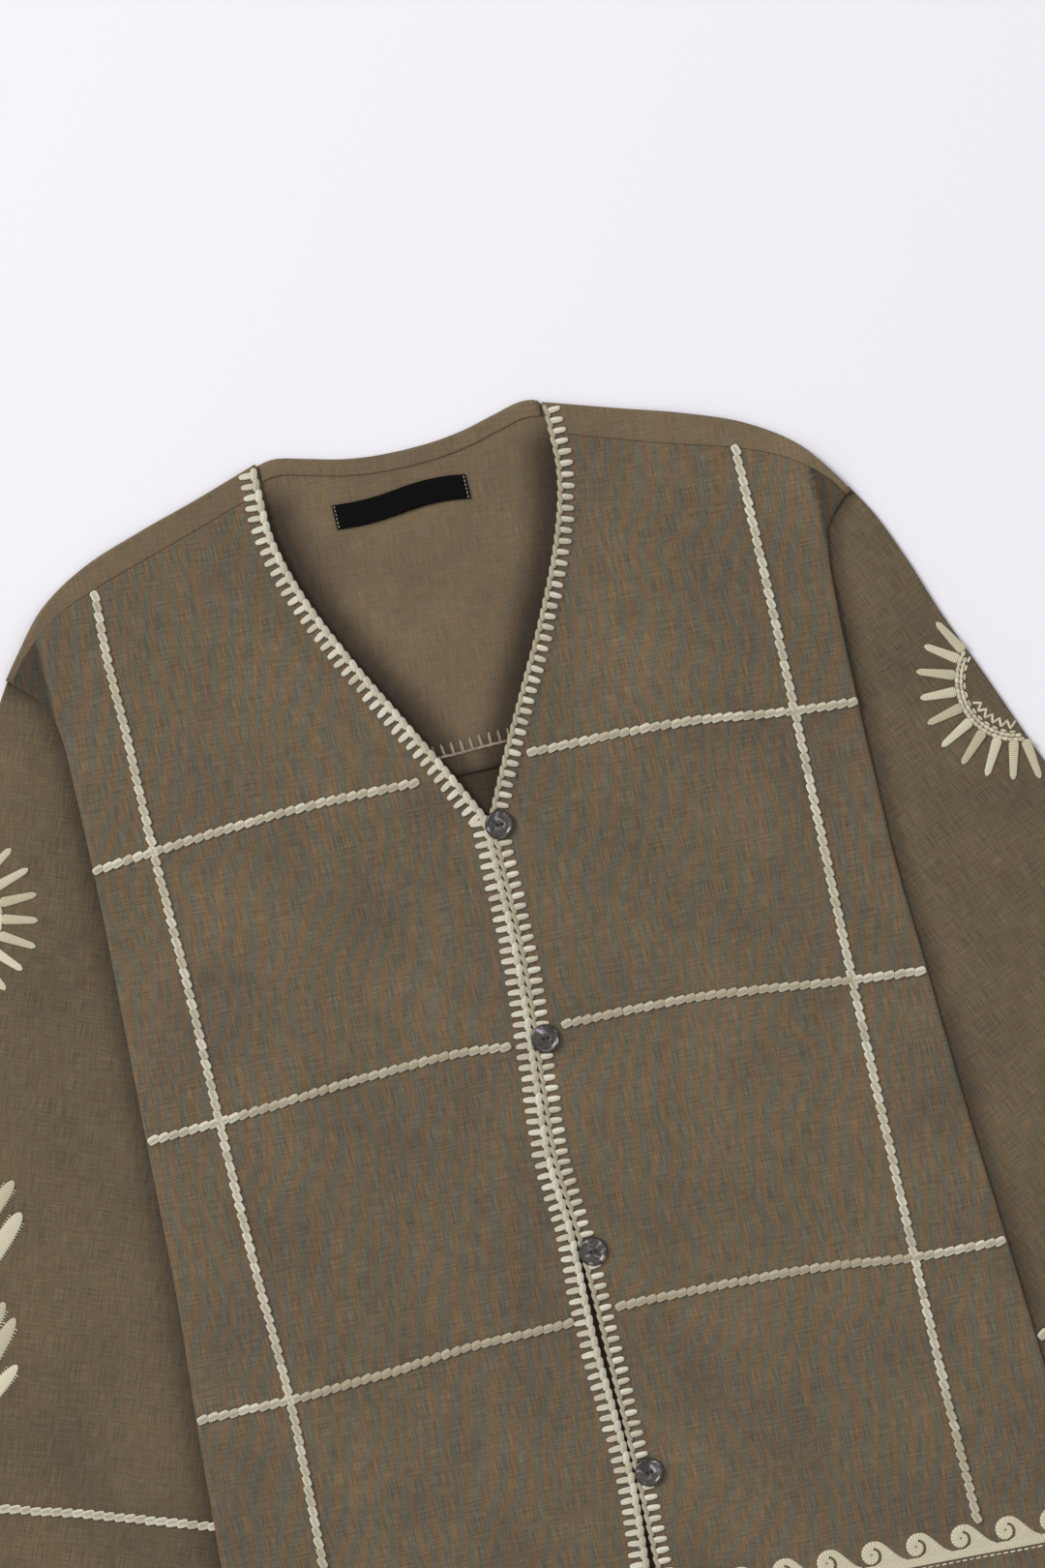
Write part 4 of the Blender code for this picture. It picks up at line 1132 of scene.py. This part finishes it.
x = np.arange(-INNER_HALF, INNER_HALF + 1, INNER_PITCH)
y = INNER_BAR_Y + 0.4 * np.sin(x / 9)
loops = [lay(x, y, 0 * x + 0.06, INNER_PITCH * OVERLAP, INNER_WIDE, INNER_TALL, yoke_ground),
         lay(x, y + INNER_LEG / 2, 0 * x + np.pi / 2 + wobble(len(x), 0.08), INNER_LEG, INNER_WIDE,
             INNER_TALL, yoke_ground)]
stitched("yoke_edging", loops, DULL)

# %% [markdown]
# The tag and the buttons are sewn on too: a row of tiny grey stitches holds each short end of
# the tag, and dark thread fills the two holes of each button. The thread is near black, as
# painted shade for the holes.
# %% Thread in the tag and the buttons
# A stitch or knot is its length, width and height.
TAG_STITCH, TAG_STITCHES, TAG_STITCH_REACH, TAG_STITCH_IN, TAG_TOP = (1.7, 0.8, 0.6), 6, 6.2, 1.3, 1.1
KNOT, KNOT_SINK = (2.1, 2.1, 1.0), 0.1

y = LABEL_PLACE[1] + np.linspace(-TAG_STITCH_REACH, TAG_STITCH_REACH, TAG_STITCHES)
ends = [lay(LABEL_PLACE[0] + end * (LABEL_SIZE[0] / 2 - TAG_STITCH_IN) + 0 * y, y, 0 * y + np.pi / 2,
            *TAG_STITCH, lambda x, y: LAYER + TAG_TOP + 0 * x) for end in (-1, 1)]
stitched("label_stitches", ends, DULL)
knots = [lay(place.x + np.array([-0.5, 0.5]) * HOLE_SPACING, np.full(2, place.y), np.zeros(2),
             *KNOT, lambda x, y, base=base: base + DISH - KNOT_SINK + 0 * x)
         for place, base in zip(BUTTONS, BUTTON_BASE)]
stitched("button_knots", knots, DARK)

# %% [markdown]
# The hem carries a running wave, a border that is found on Greek pots and floors. Each wave is
# packed satin stitch: threads laid side by side until no linen shows. It is built from its
# parts, a baseline, a rising flank and a curl that winds in towards its own centre.
# %% The running wave at the hem
WAVE_PITCH, WAVE_TROUGH, CURL_AT = 28.1, 5.4, (-2.9, 12.2)
Turn = namedtuple("Turn", "angle radius")
HEAD = (Turn(64, 9.0), Turn(110, 7.6), Turn(164, 6.5), Turn(257, 5.9), Turn(331, 4.6), Turn(420, 3.4),
        Turn(470, 1.4))
GROOVE = (Turn(-103, 7.5), Turn(-60, 6.9), Turn(-24, 6.2), Turn(0, 5.9), Turn(62, 4.7))
Border = namedtuple("Border", "side first last base_from base_to")
BORDERS = (Border(1, 17.3, 245.0, 3.0, 263.0), Border(-1, -18.0, -245.0, -14.0, -272.0))
BORDER_Y, BORDER_SLOPE, CREST_CLEAR = -505.6, -0.042, 16.0
DASH, DASH_PITCH, DASH_DOWN, DASH_INSET = (3.2, 1.2, 0.9), 4.3, 1.7, 3.0
# The curl tapers over these degrees. The flank follows it round before it falls away.
TAPER_FROM, TAPER_RUN, TAPER_LEAST, FOLLOW_TURN, FOLLOW_SHARE = 330, 420, 0.04, 165, 0.6
FLANK_SHORT, FOOT_DOWN = 11.5, 2


def about_curl(turns, degrees):
    """Places round the middle of a curl, on a spiral that a table of radii gives."""
    radius = table(turns, "angle", "radius", degrees)[:, None]
    return CURL_AT + radius * np.stack([np.cos(np.radians(degrees)), np.sin(np.radians(degrees))], -1)


def wave_pieces(crest_x, foot_y, side, ground):
    """One wave: its curl and its flank, about the point on the baseline under its crest."""
    def placed(points):
        return points * (side, 1.0) + (crest_x, foot_y)

    degrees = np.linspace(HEAD[0].angle, HEAD[-1].angle, 60)
    rim = about_curl(HEAD, degrees)
    taper = np.clip((degrees - TAPER_FROM) / TAPER_RUN, TAPER_LEAST, 1)[:, None]
    core = CURL_AT + (rim - CURL_AT) * taper
    curl = ribbon(placed(rim), placed(core), ground, power=5.0, across=8)

    s = np.linspace(0, 1, 30)
    top_x = rim[0, 0] + (WAVE_PITCH - FLANK_SHORT) * s
    top_y = WAVE_TROUGH + (rim[0, 1] - WAVE_TROUGH) * (1 - smooth(s)) ** 0.9
    arc = about_curl(GROOVE, GROOVE[-1].angle - FOLLOW_TURN * np.clip(s / FOLLOW_SHARE, 0, 1))
    away = smooth((s - FOLLOW_SHARE) / (1 - FOLLOW_SHARE))[:, None]
    low = arc * (1 - away) + np.array([top_x[-1], WAVE_TROUGH - FOOT_DOWN]) * away
    flank = ribbon(placed(np.stack([top_x, top_y], -1)), placed(low), ground)
    return [curl, flank]


def trough_fill(border, ground):
    """The solid base under the waves, from the baseline up to the troughs."""
    x = np.linspace(border.base_from, border.base_to, 150)
    y = BORDER_Y + BORDER_SLOPE * np.abs(x)
    return ribbon(np.stack([x, y + WAVE_TROUGH], -1), np.stack([x, y], -1), ground)


def dashes(border, ground):
    """The row of small dashes along the baseline."""
    low, high = sorted((border.base_from, border.base_to))
    x = np.arange(low + DASH_INSET, high, DASH_PITCH)
    y = BORDER_Y - DASH_DOWN + BORDER_SLOPE * np.abs(x)
    return lay(x, y, 0 * x, *DASH, ground)


for border in BORDERS:
    side, ground = border.side, front_ground(border.side)
    pieces = []
    for k in range(1 + round(abs(border.last - border.first) / WAVE_PITCH)):
        crest = border.first + side * k * WAVE_PITCH
        if abs(crest) + CREST_CLEAR > abs(side_x(np.float64(BORDER_Y), side)):
            break
        pieces += wave_pieces(crest, BORDER_Y + BORDER_SLOPE * abs(crest), side, ground)
    pieces.append(trough_fill(border, ground))
    if side < 0:
        pieces = [piece._replace(faces=piece.faces[:, ::-1]) for piece in pieces]
    stitched("hem_wave_" + SIDE_NAME[side], pieces, SATIN)
    stitched("hem_dashes_" + SIDE_NAME[side], [dashes(border, ground)], CREAM)

# %% [markdown]
# Each sleeve carries a sun that is folded in half by the sleeve's edge, so only the side that
# faces up is worked here. Its rays are satin bars, wider at the root, round a band of small
# loops, with a dashed ring inside it.
# %% The suns on the sleeves
Sun = namedtuple("Sun", "side x y ray_from ray_to shift")
SUNS = (Sun(1, 337.0, 8.2, 36.8, 61.0, 0.32), Sun(-1, -343.4, 17.5, 36.8, 60.0, 0.03))
RAYS, RAY_WIDE, RAY_TALL, RAY_UNEVEN, ROOT_STEP, ROOT_TRIES = 23, 6.9, 1.5, 0.6, 0.02, 12
INWARD = {1: 1.12 * math.pi, -1: 1.88 * math.pi}
FOLD_CLEAR = 2.2
Ring = namedtuple("Ring", "inside pitch turn long wide tall first last")
RINGS = (
    Ring(0.5, 3.4, 0.0, 3.8, 2.7, 1.5, 0.0, 360.0), Ring(3.1, 3.4, 0.0, 3.8, 2.5, 1.4, 0.0, 360.0),
    Ring(5.2, 5.6, 0.0, 4.0, 1.6, 1.0, 0.0, 360.0), Ring(9.6, 2.7, 1.05, 6.4, 1.7, 1.0, 197.0, 264.0),
)


def sleeve_ground(side):
    """The height of a sleeve that yarn lies on."""
    return lambda x, y: sleeve_top(x, y, side)


def on_top(x, y, side):
    """Which places lie on the side of the sleeve that faces up, clear of its fold."""
    points = FOLD_POINTS[side]
    fold_x = np.interp(-y, -points[:, 1], np.abs(points[:, 0]))
    return (np.abs(x) < fold_x) & (from_outer_fold(x, y, side) > FOLD_CLEAR)


def ray_shape(t):
    """A bar with square ends that narrows from its root to its tip."""
    return np.clip(np.minimum(14 * t + 0.05, 9 * (1 - t) + 0.05), 0, 1) ** 0.5 * (1 - 0.42 * t)


def make_ray(sun, angle, far):
    """One ray, or none. Beside the fold its root moves inwards until it lies on the upper side."""
    tip = np.array([sun.x + far * math.cos(angle), sun.y + far * math.sin(angle)])
    toward = math.copysign(ROOT_STEP, math.remainder(INWARD[sun.side] - angle, 2 * math.pi))
    roots = angle + toward * np.arange(ROOT_TRIES)
    roots = np.stack([sun.x + sun.ray_from * np.cos(roots), sun.y + sun.ray_from * np.sin(roots)])
    there = on_top(*roots, sun.side)
    if not (on_top(*tip, sun.side) and there.any()):
        return []
    root = roots[:, np.argmax(there)]
    return [lay(*(tip + root)[:, None] / 2, np.arctan2(*(tip - root)[::-1, None]), math.dist(tip, root),
                RAY_WIDE, RAY_TALL, sleeve_ground(sun.side), shape=ray_shape, around=14, rings=14)]


def make_ring(sun, row):
    """One ring of small stitches inside the rays. With a turn they lie in a zigzag."""
    side, radius = sun.side, sun.ray_from - row.inside
    angle = np.radians(np.arange(row.first, row.last, math.degrees(row.pitch / radius)))
    x, y = sun.x + side * radius * np.cos(angle), sun.y + radius * np.sin(angle)
    mask = on_top(x, y, side)
    x, y, angle = x[mask], y[mask], angle[mask]
    heading = angle + np.pi / 2 + row.turn * (-1) ** np.arange(len(angle))
    heading = heading if side > 0 else np.pi - heading
    return lay(x, y, heading, row.long, row.wide, row.tall, sleeve_ground(side), around=8, rings=6)


for sun in SUNS:
    angles = 2 * np.pi * (np.arange(RAYS) + sun.shift) / RAYS
    pieces = []
    for angle, far in zip(angles, sun.ray_to + wobble(RAYS, RAY_UNEVEN)):
        pieces += make_ray(sun, angle, far)
    pieces += [make_ring(sun, row) for row in RINGS]
    stitched("sun_" + SIDE_NAME[sun.side], pieces, SATIN)

# %% [markdown]
# Lower on each sleeve grows a sprig of leaves. Every leaf is one fat satin bar that leaves the
# stem at an angle, with a fringe of short threads along both of its sides. A chain line
# crosses the sleeve below it, above the cuff.
# %% Leaf sprigs and the sleeves' chain lines
STEM, STEM_PITCH, STEM_TURN = ((397, -304), (387, -250), (369.5, -196), (360, -134)), 3.6, 0.15
Leaf = namedtuple("Leaf", "x y heading long wide")
LEAVES = (
    Leaf(364, -176, 137, 36, 8.6), Leaf(366, -200, 135, 40, 10.4), Leaf(384, -251.6, 130, 37, 8.6),
    Leaf(387, -268.5, 132, 46, 9.2), Leaf(393, -287.7, 142, 40, 8.6), Leaf(362, -137, 96, 26, 8.2),
    Leaf(370, -188, 72, 28, 8.4), Leaf(379, -219, 68, 30, 9.4), Leaf(390, -257, 66, 30, 9.0),
    Leaf(400, -292, 60, 30, 8.6),
)
STEM_STITCH, LEAF_TALL, FRINGE = (5.0, 2.4, 1.2), 1.5, (2.4, 0.9, 0.8)
FRINGE_FROM, FRINGE_TO, FRINGE_STEP, FRINGE_OUT = -0.38, 0.42, 0.05, 0.46
SLEEVE_CHAIN = {1: ((258.5, -390.5), (340, -364.6), (463, -325.5)),
                -1: ((-262.8, -389.4), (-340, -363), (-467, -325))}


def leaf_shape(t):
    """Fullest before its middle, with a blunt point at both ends."""
    return (1 - np.abs(2 * t ** 0.9 - 1) ** 2.8) ** (1 / 2.2)


def make_sprig(side):
    """The stem, the leaves and the threads that fringe them."""
    ground = sleeve_ground(side)
    x, y, heading = spaced(curved(np.array(STEM, float) * (side, 1)), STEM_PITCH)
    pieces = [lay(x, y, heading + STEM_TURN, *STEM_STITCH, ground)]
    x, y, heading, long, wide = np.array(LEAVES, float).T
    heading = np.radians(heading)
    x, y = x + np.cos(heading) * long / 2, y + np.sin(heading) * long / 2
    heading = heading if side > 0 else np.pi - heading
    pieces.append(lay(side * x, y, heading, long, wide, LEAF_TALL, ground, shape=leaf_shape,
                      around=14, rings=16))
    step = np.arange(FRINGE_FROM, FRINGE_TO, FRINGE_STEP)[:, None]
    for way in (-1, 1):
        out = heading + way * np.pi / 2
        fringe_x = side * x + np.cos(heading) * step * long + np.cos(out) * wide * FRINGE_OUT
        fringe_y = y + np.sin(heading) * step * long + np.sin(out) * wide * FRINGE_OUT
        pieces.append(lay(fringe_x.ravel(), fringe_y.ravel(), (out + 0 * step).ravel(), *FRINGE, ground,
                          around=6, rings=4))
    return pieces


for side in (-1, 1):
    stitched("sprig_" + SIDE_NAME[side], make_sprig(side), SATIN)
    line = chain(SLEEVE_CHAIN[side], sleeve_ground(side))
    stitched("sleeve_chain_" + SIDE_NAME[side], [line], CREAM)

# %% [markdown]
# A pale floor and soft light from the upper left, as in a photo studio with one large window
# of light: shadows stay short and faint, yet every stitch still shows a dark side. The floor is
# matt studio paper, a plain rough white with no gloss, a little blue from the sky beside the
# warm cloth.
# %% Floor and light
FLOOR_HALF, FLOOR_DOWN, PAPER_ROUGH = 3, 0.3, 0.95
SKY, SKY_STRENGTH = "#FBFCFF", 0.68
corners = [(x * FLOOR_HALF, y * FLOOR_HALF, 0) for x, y in ((-1, -1), (1, -1), (1, 1), (-1, 1))]
floor = bpy.data.objects.new("floor", bpy.data.meshes.new("floor"))
floor.data.from_pydata(corners, [], [(0, 1, 2, 3)])
floor.location.z = -FLOOR_DOWN * MM
bpy.context.scene.collection.objects.link(floor)
PAPER, tree, shader = new_material("matt studio paper")
shader.inputs["Base Color"].default_value = linear("#EEEDF3")
shader.inputs["Roughness"].default_value = PAPER_ROUGH
floor.data.materials.append(PAPER)

world_light = bpy.data.worlds.new("studio")
world_light.use_nodes = True
background = world_light.node_tree.nodes["Background"]
background.inputs["Color"].default_value = linear(SKY)
background.inputs["Strength"].default_value = SKY_STRENGTH
bpy.context.scene.world = world_light


def area_light(name, place, size, power, colour):
    """A square light that looks at the shirt, a little above its middle in the plan."""
    data = bpy.data.lights.new(name, "AREA")
    data.shape, data.size, data.energy, data.color = "SQUARE", size, power, linear(colour)[:3]
    lamp = bpy.data.objects.new(name, data)
    lamp.location = place
    lamp.rotation_euler = (Vector((0, 0.1, 0)) - Vector(place)).to_track_quat("-Z", "Y").to_euler()
    bpy.context.scene.collection.objects.link(lamp)
    return lamp


area_light("window", place=(-4.0, 3.7, 5.0), size=2.8, power=300.0, colour="#FFFCF6")
